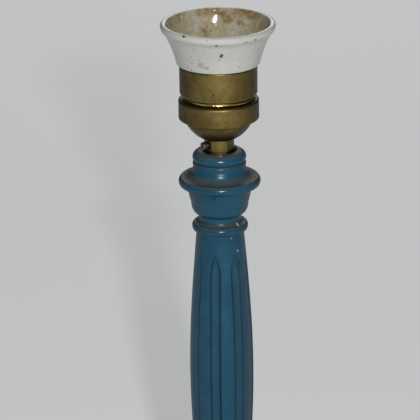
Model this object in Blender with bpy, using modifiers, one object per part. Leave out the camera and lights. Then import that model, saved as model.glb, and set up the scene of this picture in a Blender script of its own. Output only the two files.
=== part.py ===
"""Table lamp base: a turned and fluted wooden column with a brass E27 lampholder.

Run it with: blender --background --python part.py
Everything is in metres. +Z points up, the origin is the middle of the foot's underside, and the
front of the lamp base looks towards -Y. The column is a stack of turned pieces, which a hollow
threaded tube clamps together. The lampholder screws onto the top of that tube.
"""

import math

import bmesh
import bpy
from mathutils import Matrix, Vector

# Fits that every piece shares
SEAT_GAP = 0.0003
RUNNING_GAP = 0.0003
CUT_OVERRUN = 0.002
MERGE_DISTANCE = 0.00001

# Felt under the foot
FELT_RADIUS = 0.060
FELT_THICKNESS = 0.002

# Foot: a plinth, a bell-shaped sweep and a bead under the top plate
FOOT_RADIUS = 0.065
FOOT_HEIGHT = 0.032
FOOT_PLINTH_HEIGHT = 0.0135
FOOT_EDGE_ROUND = 0.0022
FOOT_LEDGE = 0.0035
FOOT_STEP = 0.0008
FOOT_SWEEP_RADIUS = 0.0245
FOOT_SWEEP_POWER = 2.6
FOOT_BEAD_REACH = 0.0022
FOOT_BEAD_HEIGHT = 0.0036
FOOT_TOP_RADIUS = 0.0205
FOOT_TOP_PLATE = 0.0012

# Pocket under the foot for the clamping nut, and the way in for a lead at the back
POCKET_RADIUS = 0.0145
POCKET_DEPTH = 0.0125
LEAD_HOLE_RADIUS = 0.0040
BUSH_FLANGE_RADIUS = 0.0055
BUSH_FLANGE_THICKNESS = 0.0012
BUSH_LENGTH = 0.014
BUSH_WALL = 0.0010

# Lower turning: a torus, a hollow throat and a band that carries the shaft
LOWER_HEIGHT = 0.026
LOWER_TORUS_RADIUS = 0.0190
LOWER_TORUS_ROUND = 0.0034
LOWER_TORUS_HEIGHT = 0.0066
LOWER_FILLET_RADIUS = 0.0155
LOWER_FILLET_HEIGHT = 0.0012
LOWER_THROAT_RADIUS = 0.0118
LOWER_BAND_RADIUS = 0.0152
LOWER_BAND_HEIGHT = 0.0038

# Fluted shaft: a swelling cigar shape with pointed flutes
SHAFT_LENGTH = 0.154
SHAFT_END_RADIUS = 0.0120
SHAFT_BELLY_RADIUS = 0.0163
SHAFT_SWELL_ANGLE = math.radians(100.0)
FLUTE_COUNT = 8
FLUTE_FIRST_TURN = math.radians(-11.5)
FLUTE_HALF_WIDTH = 0.0028
FLUTE_DEPTH = 0.0021
FLUTE_END_MARGIN = 0.0098
FLUTE_TIP_LENGTH = 0.0135
FLUTE_TIP_POWER = 2.3
FLUTE_LEAST_SHARE = 0.02

# Tenons that centre the wooden pieces on each other
TENON_RADIUS = 0.0080
TENON_LENGTH = 0.0055

# Capital, from its top edge down
CAPITAL_RECESS_RADIUS = 0.0087
CAPITAL_RECESS_DEPTH = 0.0085
CAPITAL_RING_RADIUS = 0.01355
CAPITAL_RING_ROUND = 0.0045
CAPITAL_RING_ROUND_HEIGHT = 0.0072
CAPITAL_RING_HEIGHT = 0.0059
CAPITAL_FILLET_RADIUS = 0.0135
CAPITAL_FILLET_ROUND = 0.0008
CAPITAL_FILLET_HEIGHT = 0.0022
CAPITAL_NECK_RADIUS = 0.0134
CAPITAL_NECK_HEIGHT = 0.0012
CAPITAL_BELL_HEIGHT = 0.0047
CAPITAL_BELL_WAIST_RADIUS = 0.0136
CAPITAL_BELL_RADIUS = 0.0196
CAPITAL_FLANGE_RADIUS = 0.0207
CAPITAL_FLANGE_HEIGHT = 0.0046
CAPITAL_FLANGE_ROUND = 0.0016
CAPITAL_FLANGE_ROUND_HEIGHT = 0.0046
CAPITAL_URN_RADIUS = 0.0165
CAPITAL_URN_BELLY_RADIUS = 0.0145
CAPITAL_URN_TAPER_HEIGHT = 0.0091
CAPITAL_URN_TAPER_POWER = 1.2
CAPITAL_URN_FOOT_RADIUS = 0.0106
CAPITAL_URN_BOWL_HEIGHT = 0.0060
CAPITAL_WAIST_HEIGHT = 0.0025
CAPITAL_FLARE_HEIGHT = 0.0020
CAPITAL_FLARE_RADIUS = 0.0134
CAPITAL_BAND_RADIUS = 0.0142
CAPITAL_BAND_HEIGHT = 0.0039
CAPITAL_BAND_ROUND = 0.0008
CAPITAL_BAND_ROUND_HEIGHT = 0.0044

# Hollow threaded tube and the washers and nuts that clamp the column
TUBE_RADIUS = 0.0050
TUBE_BORE_RADIUS = 0.0035
TUBE_FOOT_STANDOUT = 0.0010
TUBE_CAP_STANDOUT = 0.0015
BOTTOM_WASHER_RADIUS = 0.0120
BOTTOM_WASHER_THICKNESS = 0.0016
BOTTOM_NUT_FLATS = 0.0170
BOTTOM_NUT_THICKNESS = 0.0055
TOP_WASHER_RADIUS = 0.0082
TOP_WASHER_THICKNESS = 0.0010
TOP_NUT_FLATS = 0.0140
TOP_NUT_THICKNESS = 0.0028

# Brass cap of the holder, from the sleeve's lower edge down
BRASS_WALL = 0.0009
CAP_NECK_RADIUS = 0.0183
CAP_NECK_ABOVE = 0.0065
CAP_GROOVE_HEIGHT = 0.0024
CAP_SHOULDER_HEIGHT = 0.0014
CAP_RADIUS = 0.0202
CAP_BAND_HEIGHT = 0.0087
CAP_LIP_ROUND = 0.0003
CAP_BOWL_RADIUS = 0.0174
CAP_BOWL_DEPTH = 0.0099
CAP_BOWL_FULL_DEPTH = 0.0120
CAP_BOWL_FALL_POWER = 1.34
CAP_BOWL_ROUND_POWER = 2.48

# Hexagonal neck collar and its locking screw
NECK_SHOWN = 0.0072
NECK_FLATS = 0.0134
NECK_BELOW_RIM = 0.0028
NECK_ROUND_RADIUS = 0.0066
NECK_ROUND_HEIGHT = 0.0008
RIVET_RADIUS = 0.0084
RIVET_THICKNESS = 0.0008
LOCK_SCREW_TURN = math.radians(-60.0)
LOCK_SCREW_BELOW_CAP = 0.0041
LOCK_SCREW_SHANK_RADIUS = 0.0015
LOCK_SCREW_HEAD_RADIUS = 0.0022
LOCK_SCREW_HEAD_HEIGHT = 0.0023
LOCK_SCREW_STANDOUT = 0.0009
SCREW_CHAMFER_SHARE = 1 / 6
SCREW_SLOT_WIDTH = 0.0008
SCREW_SLOT_DEPTH = 0.0008

# Brass sleeve
SLEEVE_RADIUS = 0.0195
SLEEVE_LENGTH = 0.0155
SLEEVE_EDGE_ROUND = 0.0012

# Porcelain collar, from its lower face up
COLLAR_BASE_RADIUS = 0.02115
COLLAR_BASE_ROUND = 0.0012
COLLAR_FLARE_HEIGHT = 0.0162
COLLAR_FLARE_RADIUS = 0.0269
COLLAR_FLARE_BEND = 0.00055
COLLAR_RIM_RADIUS = 0.0288
COLLAR_RIM_HEIGHT = 0.0194
COLLAR_RIM_ROUND = 0.00175
COLLAR_RIM_RISE = 0.0016
COLLAR_RIM_DROP = 0.0026
COLLAR_FUNNEL_DEPTH = 0.0203
COLLAR_FUNNEL_POWER = 1.4
COLLAR_BORE_RADIUS = 0.0162
COLLAR_SPIGOT_LENGTH = 0.0052

# Porcelain core with its flange on the cap's neck
CORE_BODY_RADIUS = 0.0166
CORE_BODY_DEPTH = 0.0130
CORE_FLANGE_THICKNESS = 0.0032
CORE_WELL_RADIUS = 0.0143
CORE_WELL_DEPTH = 0.0075
WIRE_HOLE_RADIUS = 0.0016
WIRE_HOLE_OFFSET = 0.0110

# E27 thread shell
THREAD_PITCH = 0.00362
THREAD_TURNS = 5
THREAD_CREST_RADIUS = 0.01235
THREAD_ROOT_RADIUS = 0.01335
SHELL_WALL = 0.0004
SHELL_FLOOR_HOLE_RADIUS = 0.0070
SHELL_RIM_HEIGHT = 0.0012

# Screws in the shell's floor
SHELL_SCREW_OFFSET = 0.0095
SMALL_SCREW_HEAD_RADIUS = 0.0019
SMALL_SCREW_HEAD_HEIGHT = 0.0012
SMALL_SCREW_SHANK_RADIUS = 0.0010
SMALL_SCREW_LENGTH = 0.0050
CONTACT_SCREW_SHARE = 0.8

# Centre contact: a fixed tab, held by a screw, and the leaf that springs from it
LEAF_WIDTH = 0.0045
LEAF_THICKNESS = 0.0004
TAB_LENGTH = 0.0036
TAB_END = -0.0026
LEAF_RISE = 0.0034
LEAF_RUN = 0.0040
LEAF_NOSE = 0.0016
LEAF_NOSE_RISE = 0.0002
LEAF_NOSE_DROP = 0.0006
LEAF_TIP_SHARE = 0.4

# Terminals under the core
TERMINAL_OFFSET = 0.0095
TERMINAL_LENGTH = 0.0055
TERMINAL_WIDTH = 0.0050
TERMINAL_HEIGHT = 0.0055
TERMINAL_WIRE_RADIUS = 0.0012
TERMINAL_SCREW_DROP = 0.0009
TERMINAL_SCREW_LENGTH = 0.0016

# Facets round the turned pieces, and points along their curves
WOOD_STEPS = 32
BRASS_STEPS = 28
SMALL_STEPS = 16
TINY_STEPS = 12
SHAFT_SECTION_COUNT = 14
FLUTE_TIP_COUNT = 6
FLUTE_RUN_COUNT = 8
FLUTE_BEVEL_COUNT = 2
COLLAR_CURVE_COUNT = 6
SHELL_STEPS = 20
SHELL_TURN_ROW_COUNT = 4
UNIT_GRID_HALF_SHARE = 0.5
BOWL_SHARES = (0.0, 0.12, 0.26, 0.42, 0.58, 0.74, 0.88, 1.0)

# Heights of the stack, from the rest surface up
FOOT_BASE = FELT_THICKNESS + SEAT_GAP
FOOT_TOP = FOOT_BASE + FOOT_HEIGHT
LOWER_BASE = FOOT_TOP + SEAT_GAP
LOWER_TOP = LOWER_BASE + LOWER_HEIGHT
SHAFT_BASE = LOWER_TOP + SEAT_GAP
SHAFT_TOP = SHAFT_BASE + SHAFT_LENGTH
CAPITAL_BASE = SHAFT_TOP + SEAT_GAP
CAPITAL_HEIGHT = (
    CAPITAL_RING_HEIGHT
    + CAPITAL_FILLET_HEIGHT
    + CAPITAL_NECK_HEIGHT
    + CAPITAL_BELL_HEIGHT
    + CAPITAL_FLANGE_HEIGHT
    + CAPITAL_URN_TAPER_HEIGHT
    + CAPITAL_URN_BOWL_HEIGHT
    + CAPITAL_WAIST_HEIGHT
    + CAPITAL_FLARE_HEIGHT
    + CAPITAL_BAND_HEIGHT
)
CAPITAL_TOP = CAPITAL_BASE + CAPITAL_HEIGHT
WOOD_BORE_RADIUS = TUBE_RADIUS + RUNNING_GAP

# Heights in the holder, measured from the sleeve's lower edge
SHOULDER_TOP = -CAP_GROOVE_HEIGHT
BAND_TOP = SHOULDER_TOP - CAP_SHOULDER_HEIGHT
BAND_BOTTOM = BAND_TOP - CAP_BAND_HEIGHT
CAP_FLOOR = BAND_BOTTOM - CAP_BOWL_DEPTH
HOLDER_HEIGHT = CAPITAL_TOP + NECK_SHOWN - CAP_FLOOR
CAP_HOLE_RADIUS = NECK_ROUND_RADIUS + RUNNING_GAP
HEX_TOP = CAP_FLOOR - NECK_ROUND_HEIGHT
HEX_BOTTOM = CAP_FLOOR - NECK_SHOWN - NECK_BELOW_RIM
COLLAR_BASE = SLEEVE_LENGTH + SEAT_GAP
CORE_FLANGE_BOTTOM = CAP_NECK_ABOVE + SEAT_GAP
CORE_TOP = CORE_FLANGE_BOTTOM + CORE_FLANGE_THICKNESS
CORE_FLOOR = CORE_TOP - CORE_WELL_DEPTH
CORE_BOTTOM = CORE_FLANGE_BOTTOM - CORE_BODY_DEPTH
SLEEVE_BORE_RADIUS = SLEEVE_RADIUS - BRASS_WALL
SHELL_FLOOR = CORE_FLOOR + SEAT_GAP
SHELL_FLOOR_TOP = SHELL_FLOOR + SHELL_WALL


def clear_scene():
    """Remove every object, so the file starts empty."""
    for old in list(bpy.data.objects):
        bpy.data.objects.remove(old, do_unlink=True)


def new_collection(name):
    """Make a collection in the scene."""
    made = bpy.data.collections.new(name)
    bpy.context.scene.collection.children.link(made)
    return made


def paint(name, colour, roughness, metallic=0.0):
    """Make a material with one Principled BSDF."""
    material = bpy.data.materials.new(name)
    material.use_nodes = True
    shader = material.node_tree.nodes["Principled BSDF"]
    shader.inputs["Base Color"].default_value = (*colour, 1.0)
    shader.inputs["Roughness"].default_value = roughness
    shader.inputs["Metallic"].default_value = metallic
    material.diffuse_color = (*colour, 1.0)
    return material


def front_direction(turn):
    """Level direction that lies turn radians to the right of straight ahead, seen from the front."""
    return Vector((math.sin(turn), -math.cos(turn), 0.0))


def arc(centre_radius, centre_height, half_width, half_height, start, end, count):
    """Points of an elliptical arc in a turned outline, angles in degrees from outwards."""
    points = []
    for index in range(count):
        angle = math.radians(start + (end - start) * index / (count - 1))
        radius = centre_radius + half_width * math.cos(angle)
        height = centre_height + half_height * math.sin(angle)
        points.append((radius, height))
    return points


def sweep(start, end, count, power):
    """Points from start to end whose radius changes as a power of the height that is covered."""
    points = []
    for index in range(count):
        share = index / (count - 1)
        radius = start[0] + (end[0] - start[0]) * share**power
        height = start[1] + (end[1] - start[1]) * share
        points.append((radius, height))
    return points


def place(body, group, parent, location, direction):
    """Link an object, hang it on its parent and give it its place."""
    group.objects.link(body)
    body.parent = parent
    body.location = location
    if direction is not None:
        body.rotation_mode = "QUATERNION"
        body.rotation_quaternion = Vector((0.0, 0.0, 1.0)).rotation_difference(direction)


def mesh_object(name, bm):
    """Turn a bmesh into an object."""
    mesh = bpy.data.meshes.new(name)
    bm.to_mesh(mesh)
    bm.free()
    return bpy.data.objects.new(name, mesh)


def turned(name, outline, steps, closed=True):
    """Turn an outline of (radius, height) points about Z with a Screw modifier.

    A hollow piece has a closed outline. A solid one starts and ends on the axis.
    """
    bm = bmesh.new()
    points = [bm.verts.new((radius, 0.0, height)) for radius, height in outline]
    for first, second in zip(points, points[1:]):
        bm.edges.new((first, second))
    if closed:
        bm.edges.new((points[-1], points[0]))
    body = mesh_object(name, bm)
    screw = body.modifiers.new("Turn", "SCREW")
    screw.steps = steps
    screw.render_steps = steps
    screw.use_merge_vertices = True
    screw.merge_threshold = MERGE_DISTANCE
    screw.use_smooth_shade = True
    return body


def cylinder(name, radius, length, steps, turn=0.0):
    """A closed cylinder or prism that starts at its origin and runs up Z."""
    bm = bmesh.new()
    bmesh.ops.create_cone(
        bm,
        cap_ends=True,
        segments=steps,
        radius1=radius,
        radius2=radius,
        depth=length,
        matrix=Matrix.Translation((0.0, 0.0, length / 2)) @ Matrix.Rotation(turn, 4, "Z"),
    )
    return mesh_object(name, bm)


def block(name, size):
    """A box centred on its origin."""
    bm = bmesh.new()
    bmesh.ops.create_cube(bm, size=1.0, matrix=Matrix.Diagonal((*size, 1.0)))
    return mesh_object(name, bm)


def hexagon_radius(flats):
    """Corner radius of a hexagon from its width across flats."""
    return flats / math.sqrt(3.0)


class Bench:
    """Collections and parents of the part, and the ways to finish a piece."""

    def __init__(self):
        self.parts = new_collection("lamp_base")
        self.cutters = new_collection("cutters")
        self.column = self.pivot("column_axis", None, (0.0, 0.0, 0.0))
        self.holder = self.pivot("holder_axis", self.column, (0.0, 0.0, HOLDER_HEIGHT))

    def pivot(self, name, parent, location):
        """Add an empty that pieces hang on."""
        empty = bpy.data.objects.new(name, None)
        empty.empty_display_size = FOOT_RADIUS
        self.parts.objects.link(empty)
        empty.parent = parent
        empty.location = location
        return empty

    def keep(self, body, parent, material, location=(0.0, 0.0, 0.0), direction=None):
        """Place a finished piece and give it its material."""
        place(body, self.parts, parent, location, direction)
        body.data.materials.append(material)

    def tool(self, body, parent, location=(0.0, 0.0, 0.0), direction=None):
        """Place a cutter or another helper that doesn't show."""
        place(body, self.cutters, parent, location, direction)
        body.hide_render = True
        body.display_type = "WIRE"
        return body

    def boolean(self, body, tool, operation):
        """Cut a piece with a tool, or join the tool to it."""
        step = body.modifiers.new(tool.name, "BOOLEAN")
        step.operation = operation
        step.solver = "EXACT"
        step.object = tool


def foot_outline():
    """Outer side of the foot from its top, then its pocket and bore back up."""
    plinth = FOOT_PLINTH_HEIGHT
    bead_top = FOOT_HEIGHT - FOOT_TOP_PLATE
    bead_bottom = bead_top - FOOT_BEAD_HEIGHT
    ledge_radius = FOOT_RADIUS - FOOT_EDGE_ROUND - FOOT_LEDGE
    outline = [(FOOT_TOP_RADIUS, FOOT_HEIGHT), (FOOT_TOP_RADIUS, bead_top)]
    bead_middle = (bead_top + bead_bottom) / 2
    outline += arc(
        FOOT_SWEEP_RADIUS - FOOT_BEAD_REACH / 2,
        bead_middle,
        FOOT_BEAD_REACH,
        FOOT_BEAD_HEIGHT / 2,
        80,
        -80,
        5,
    )
    sweep_start = (FOOT_SWEEP_RADIUS - FOOT_BEAD_REACH / 2, bead_bottom - FOOT_STEP)
    sweep_end = (ledge_radius, plinth + FOOT_STEP)
    outline += sweep(sweep_start, sweep_end, 7, FOOT_SWEEP_POWER)
    outline.append((ledge_radius, plinth))
    outline += arc(
        FOOT_RADIUS - FOOT_EDGE_ROUND,
        plinth - FOOT_EDGE_ROUND,
        FOOT_EDGE_ROUND,
        FOOT_EDGE_ROUND,
        90,
        0,
        3,
    )
    outline += arc(
        FOOT_RADIUS - FOOT_EDGE_ROUND,
        FOOT_EDGE_ROUND,
        FOOT_EDGE_ROUND,
        FOOT_EDGE_ROUND,
        0,
        -90,
        3,
    )
    outline += [
        (POCKET_RADIUS, 0.0),
        (POCKET_RADIUS, POCKET_DEPTH),
        (WOOD_BORE_RADIUS, POCKET_DEPTH),
        (WOOD_BORE_RADIUS, FOOT_HEIGHT - TENON_LENGTH - SEAT_GAP),
        (TENON_RADIUS + SEAT_GAP, FOOT_HEIGHT - TENON_LENGTH - SEAT_GAP),
        (TENON_RADIUS + SEAT_GAP, FOOT_HEIGHT),
    ]
    return outline


def build_foot(bench, wood, felt, brass):
    """Foot with its felt and the bush where a lead would come in."""
    pad = turned(
        "felt_pad",
        [(0.0, FELT_THICKNESS), (FELT_RADIUS, FELT_THICKNESS), (FELT_RADIUS, 0.0), (0.0, 0.0)],
        WOOD_STEPS,
        closed=False,
    )
    bench.keep(pad, bench.column, felt)

    foot = turned("foot", foot_outline(), WOOD_STEPS)
    bench.keep(foot, bench.column, wood, (0.0, 0.0, FOOT_BASE))
    back = Vector((0.0, 1.0, 0.0))
    hole_height = FOOT_BASE + FOOT_PLINTH_HEIGHT / 2
    hole = cylinder("lead_hole", LEAD_HOLE_RADIUS, FOOT_RADIUS + CUT_OVERRUN, SMALL_STEPS)
    bench.tool(hole, bench.column, (0.0, 0.0, hole_height), back)
    bench.boolean(foot, hole, "DIFFERENCE")
    seat_depth = BUSH_FLANGE_THICKNESS + SEAT_GAP
    seat = cylinder(
        "bush_seat", BUSH_FLANGE_RADIUS + SEAT_GAP, seat_depth + CUT_OVERRUN, SMALL_STEPS
    )
    bench.tool(seat, bench.column, (0.0, FOOT_RADIUS - seat_depth, hole_height), back)
    bench.boolean(foot, seat, "DIFFERENCE")

    tube_radius = LEAD_HOLE_RADIUS - RUNNING_GAP
    outline = [
        (BUSH_FLANGE_RADIUS, BUSH_LENGTH),
        (BUSH_FLANGE_RADIUS, BUSH_LENGTH - BUSH_FLANGE_THICKNESS),
        (tube_radius, BUSH_LENGTH - BUSH_FLANGE_THICKNESS),
        (tube_radius, 0.0),
        (tube_radius - BUSH_WALL, 0.0),
        (tube_radius - BUSH_WALL, BUSH_LENGTH),
    ]
    bush = turned("cord_inlet_bush", outline, SMALL_STEPS)
    bench.keep(bush, bench.column, brass, (0.0, FOOT_RADIUS - BUSH_LENGTH, hole_height), back)


def lower_turning_outline():
    """Torus, fillet, throat and band, with a tenon at each end."""
    torus_middle = LOWER_TORUS_HEIGHT / 2
    band_bottom = LOWER_HEIGHT - LOWER_BAND_HEIGHT
    fillet_top = LOWER_TORUS_HEIGHT + LOWER_FILLET_HEIGHT
    throat_reach = LOWER_BAND_RADIUS - LOWER_THROAT_RADIUS
    throat_middle = (fillet_top + band_bottom) / 2
    throat_half = (band_bottom - fillet_top) / 2
    outline = [
        (TENON_RADIUS, LOWER_HEIGHT + TENON_LENGTH),
        (TENON_RADIUS, LOWER_HEIGHT),
        (LOWER_BAND_RADIUS - CAPITAL_BAND_ROUND, LOWER_HEIGHT),
    ]
    outline += arc(
        LOWER_BAND_RADIUS - CAPITAL_BAND_ROUND,
        LOWER_HEIGHT - LOWER_BAND_HEIGHT / 2,
        CAPITAL_BAND_ROUND,
        LOWER_BAND_HEIGHT / 2,
        60,
        -80,
        4,
    )
    outline += arc(LOWER_BAND_RADIUS, throat_middle, throat_reach, throat_half, 110, 250, 7)
    outline += [
        (LOWER_FILLET_RADIUS, fillet_top),
        (LOWER_FILLET_RADIUS, LOWER_TORUS_HEIGHT),
    ]
    outline += arc(
        LOWER_TORUS_RADIUS - LOWER_TORUS_ROUND,
        torus_middle,
        LOWER_TORUS_ROUND,
        torus_middle,
        80,
        -90,
        6,
    )
    outline += [
        (TENON_RADIUS, 0.0),
        (TENON_RADIUS, -TENON_LENGTH),
        (WOOD_BORE_RADIUS, -TENON_LENGTH),
        (WOOD_BORE_RADIUS, LOWER_HEIGHT + TENON_LENGTH),
    ]
    return outline


def shaft_radius(height):
    """Radius of the shaft at a height above its lower end: a cosine swell about the middle."""
    share = abs(2 * height / SHAFT_LENGTH - 1)
    fall = (1 - math.cos(SHAFT_SWELL_ANGLE * share)) / (1 - math.cos(SHAFT_SWELL_ANGLE))
    return SHAFT_BELLY_RADIUS - (SHAFT_BELLY_RADIUS - SHAFT_END_RADIUS) * fall


def flute_share(height):
    """How far a flute is open at a height: 0 at its pointed tips and 1 along its run."""
    from_end = min(height, SHAFT_LENGTH - height) - FLUTE_END_MARGIN
    share = min(max(from_end / FLUTE_TIP_LENGTH, 0.0), 1.0)
    return 1 - (1 - share) ** FLUTE_TIP_POWER


def flute_cutter(bench, turn, index):
    """A tube with pointed ends that follows the shaft's side and cuts one flute."""
    tool_radius = (FLUTE_HALF_WIDTH**2 + FLUTE_DEPTH**2) / (2 * FLUTE_DEPTH)
    lift = tool_radius - FLUTE_DEPTH
    tip_step = FLUTE_TIP_LENGTH / FLUTE_TIP_COUNT
    tip = [FLUTE_END_MARGIN + tip_step * index for index in range(FLUTE_TIP_COUNT)]
    run_start = FLUTE_END_MARGIN + FLUTE_TIP_LENGTH
    run_step = (SHAFT_LENGTH - 2 * run_start) / FLUTE_RUN_COUNT
    run = [run_start + run_step * index for index in range(FLUTE_RUN_COUNT + 1)]
    heights = tip + run + [SHAFT_LENGTH - height for height in reversed(tip)]
    curve = bpy.data.curves.new(f"flute_path_{index}", "CURVE")
    curve.dimensions = "3D"
    curve.bevel_depth = tool_radius
    curve.bevel_resolution = FLUTE_BEVEL_COUNT
    curve.use_fill_caps = True
    spline = curve.splines.new("POLY")
    spline.points.add(len(heights) - 1)
    outwards = front_direction(turn)
    for point, height in zip(spline.points, heights):
        share = max(flute_share(height), FLUTE_LEAST_SHARE)
        reach = shaft_radius(height) + lift * share
        point.co = (*(outwards * reach).xy, height, 1.0)
        point.radius = share
    path = bpy.data.objects.new(f"flute_path_{index}", curve)
    bench.cutters.objects.link(path)
    bpy.context.view_layer.update()
    evaluated = path.evaluated_get(bpy.context.evaluated_depsgraph_get())
    mesh = bpy.data.meshes.new_from_object(evaluated)
    bpy.data.objects.remove(path)
    bm = bmesh.new()
    bm.from_mesh(mesh)
    bmesh.ops.remove_doubles(bm, verts=bm.verts, dist=MERGE_DISTANCE)
    bmesh.ops.recalc_face_normals(bm, faces=bm.faces)
    bm.to_mesh(mesh)
    bm.free()
    cutter = bpy.data.objects.new(f"flute_cutter_{index}", mesh)
    return bench.tool(cutter, bench.column, (0.0, 0.0, SHAFT_BASE))


def build_column(bench, wood):
    """Lower turning, fluted shaft and capital."""
    lower = turned("lower_turning", lower_turning_outline(), WOOD_STEPS)
    bench.keep(lower, bench.column, wood, (0.0, 0.0, LOWER_BASE))

    socket = TENON_RADIUS + SEAT_GAP
    socket_depth = TENON_LENGTH + SEAT_GAP
    step = SHAFT_LENGTH / SHAFT_SECTION_COUNT
    heights = [SHAFT_LENGTH - step * index for index in range(SHAFT_SECTION_COUNT + 1)]
    outline = [(shaft_radius(height), height) for height in heights]
    outline += [
        (socket, 0.0),
        (socket, socket_depth),
        (WOOD_BORE_RADIUS, socket_depth),
        (WOOD_BORE_RADIUS, SHAFT_LENGTH - socket_depth),
        (socket, SHAFT_LENGTH - socket_depth),
        (socket, SHAFT_LENGTH),
    ]
    shaft = turned("fluted_shaft", outline, WOOD_STEPS)
    bench.keep(shaft, bench.column, wood, (0.0, 0.0, SHAFT_BASE))
    for index in range(FLUTE_COUNT):
        turn = FLUTE_FIRST_TURN + 2 * math.pi * index / FLUTE_COUNT
        bench.boolean(shaft, flute_cutter(bench, turn, index), "DIFFERENCE")

    capital = turned("capital", capital_outline(), WOOD_STEPS)
    bench.keep(capital, bench.column, wood, (0.0, 0.0, CAPITAL_TOP))


def capital_outline():
    """Outer side of the capital from its top edge (height 0) down, then its bore and recess."""
    fillet_top = -CAPITAL_RING_HEIGHT
    neck_top = fillet_top - CAPITAL_FILLET_HEIGHT
    bell_top = neck_top - CAPITAL_NECK_HEIGHT
    flange_top = bell_top - CAPITAL_BELL_HEIGHT
    urn_top = flange_top - CAPITAL_FLANGE_HEIGHT
    bowl_top = urn_top - CAPITAL_URN_TAPER_HEIGHT
    waist_top = bowl_top - CAPITAL_URN_BOWL_HEIGHT
    flare_top = waist_top - CAPITAL_WAIST_HEIGHT
    bottom = -CAPITAL_HEIGHT
    outline = arc(
        CAPITAL_RING_RADIUS - CAPITAL_RING_ROUND,
        -CAPITAL_RING_ROUND_HEIGHT / 2,
        CAPITAL_RING_ROUND,
        CAPITAL_RING_ROUND_HEIGHT / 2,
        90,
        -40,
        8,
    )
    outline += arc(
        CAPITAL_FILLET_RADIUS - CAPITAL_FILLET_ROUND,
        (fillet_top + neck_top) / 2,
        CAPITAL_FILLET_ROUND,
        CAPITAL_FILLET_HEIGHT / 2,
        70,
        -30,
        5,
    )
    outline.append((CAPITAL_NECK_RADIUS, neck_top - SEAT_GAP))
    outline += arc(
        CAPITAL_BELL_RADIUS,
        bell_top,
        CAPITAL_BELL_RADIUS - CAPITAL_BELL_WAIST_RADIUS,
        CAPITAL_BELL_HEIGHT,
        186,
        270,
        7,
    )
    outline += arc(
        CAPITAL_FLANGE_RADIUS - CAPITAL_FLANGE_ROUND,
        urn_top + CAPITAL_FLANGE_ROUND_HEIGHT / 2,
        CAPITAL_FLANGE_ROUND,
        CAPITAL_FLANGE_ROUND_HEIGHT / 2,
        26,
        -90,
        5,
    )
    outline += sweep(
        (CAPITAL_URN_RADIUS, urn_top),
        (CAPITAL_URN_BELLY_RADIUS, bowl_top),
        3,
        CAPITAL_URN_TAPER_POWER,
    )
    outline += arc(
        CAPITAL_URN_FOOT_RADIUS,
        bowl_top,
        CAPITAL_URN_BELLY_RADIUS - CAPITAL_URN_FOOT_RADIUS,
        CAPITAL_URN_BOWL_HEIGHT,
        -12,
        -90,
        5,
    )
    outline += arc(
        CAPITAL_FLARE_RADIUS,
        flare_top,
        CAPITAL_FLARE_RADIUS - CAPITAL_URN_FOOT_RADIUS,
        CAPITAL_FLARE_HEIGHT,
        180,
        270,
        5,
    )
    outline += arc(
        CAPITAL_BAND_RADIUS - CAPITAL_BAND_ROUND,
        bottom + CAPITAL_BAND_ROUND_HEIGHT / 2,
        CAPITAL_BAND_ROUND,
        CAPITAL_BAND_ROUND_HEIGHT / 2,
        10,
        -90,
        4,
    )
    outline += [
        (TENON_RADIUS, bottom),
        (TENON_RADIUS, bottom - TENON_LENGTH),
        (WOOD_BORE_RADIUS, bottom - TENON_LENGTH),
        (WOOD_BORE_RADIUS, -CAPITAL_RECESS_DEPTH),
        (CAPITAL_RECESS_RADIUS, -CAPITAL_RECESS_DEPTH),
        (CAPITAL_RECESS_RADIUS, -SEAT_GAP),
    ]
    return outline


def ring(name, outer_radius, inner_radius, thickness, steps):
    """A flat washer or plain tube that starts at its origin and runs up Z."""
    outline = [
        (outer_radius, thickness),
        (outer_radius, 0.0),
        (inner_radius, 0.0),
        (inner_radius, thickness),
    ]
    return turned(name, outline, steps)


def hexagon_nut(bench, name, flats, thickness, parent, material, base):
    """A hexagonal nut round the threaded tube."""
    nut = cylinder(name, hexagon_radius(flats), thickness, 6, math.pi / 6)
    bench.keep(nut, parent, material, (0.0, 0.0, base))
    bore = cylinder(f"{name}_bore", WOOD_BORE_RADIUS, thickness + 2 * CUT_OVERRUN, SMALL_STEPS)
    bench.tool(bore, parent, (0.0, 0.0, base - CUT_OVERRUN))
    bench.boolean(nut, bore, "DIFFERENCE")


def build_clamp(bench, steel, brass):
    """Threaded tube with its washers and nuts."""
    ceiling = FOOT_BASE + POCKET_DEPTH
    washer_base = ceiling - SEAT_GAP - BOTTOM_WASHER_THICKNESS
    washer = ring(
        "bottom_washer",
        BOTTOM_WASHER_RADIUS,
        WOOD_BORE_RADIUS,
        BOTTOM_WASHER_THICKNESS,
        SMALL_STEPS,
    )
    bench.keep(washer, bench.column, steel, (0.0, 0.0, washer_base))
    nut_base = washer_base - SEAT_GAP - BOTTOM_NUT_THICKNESS
    hexagon_nut(
        bench, "bottom_nut", BOTTOM_NUT_FLATS, BOTTOM_NUT_THICKNESS, bench.column, steel, nut_base
    )

    recess_floor = CAPITAL_TOP - CAPITAL_RECESS_DEPTH
    washer_base = recess_floor + SEAT_GAP
    washer = ring(
        "top_washer", TOP_WASHER_RADIUS, WOOD_BORE_RADIUS, TOP_WASHER_THICKNESS, SMALL_STEPS
    )
    bench.keep(washer, bench.column, brass, (0.0, 0.0, washer_base))
    top_nut_base = washer_base + TOP_WASHER_THICKNESS + SEAT_GAP
    hexagon_nut(
        bench, "top_nut", TOP_NUT_FLATS, TOP_NUT_THICKNESS, bench.column, brass, top_nut_base
    )

    tube_base = nut_base - TUBE_FOOT_STANDOUT
    tube_top = HOLDER_HEIGHT + CAP_FLOOR + BRASS_WALL + RIVET_THICKNESS + TUBE_CAP_STANDOUT
    tube = ring(
        "threaded_tube", TUBE_RADIUS, TUBE_BORE_RADIUS, tube_top - tube_base, SMALL_STEPS
    )
    bench.keep(tube, bench.column, steel, (0.0, 0.0, tube_base))


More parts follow.
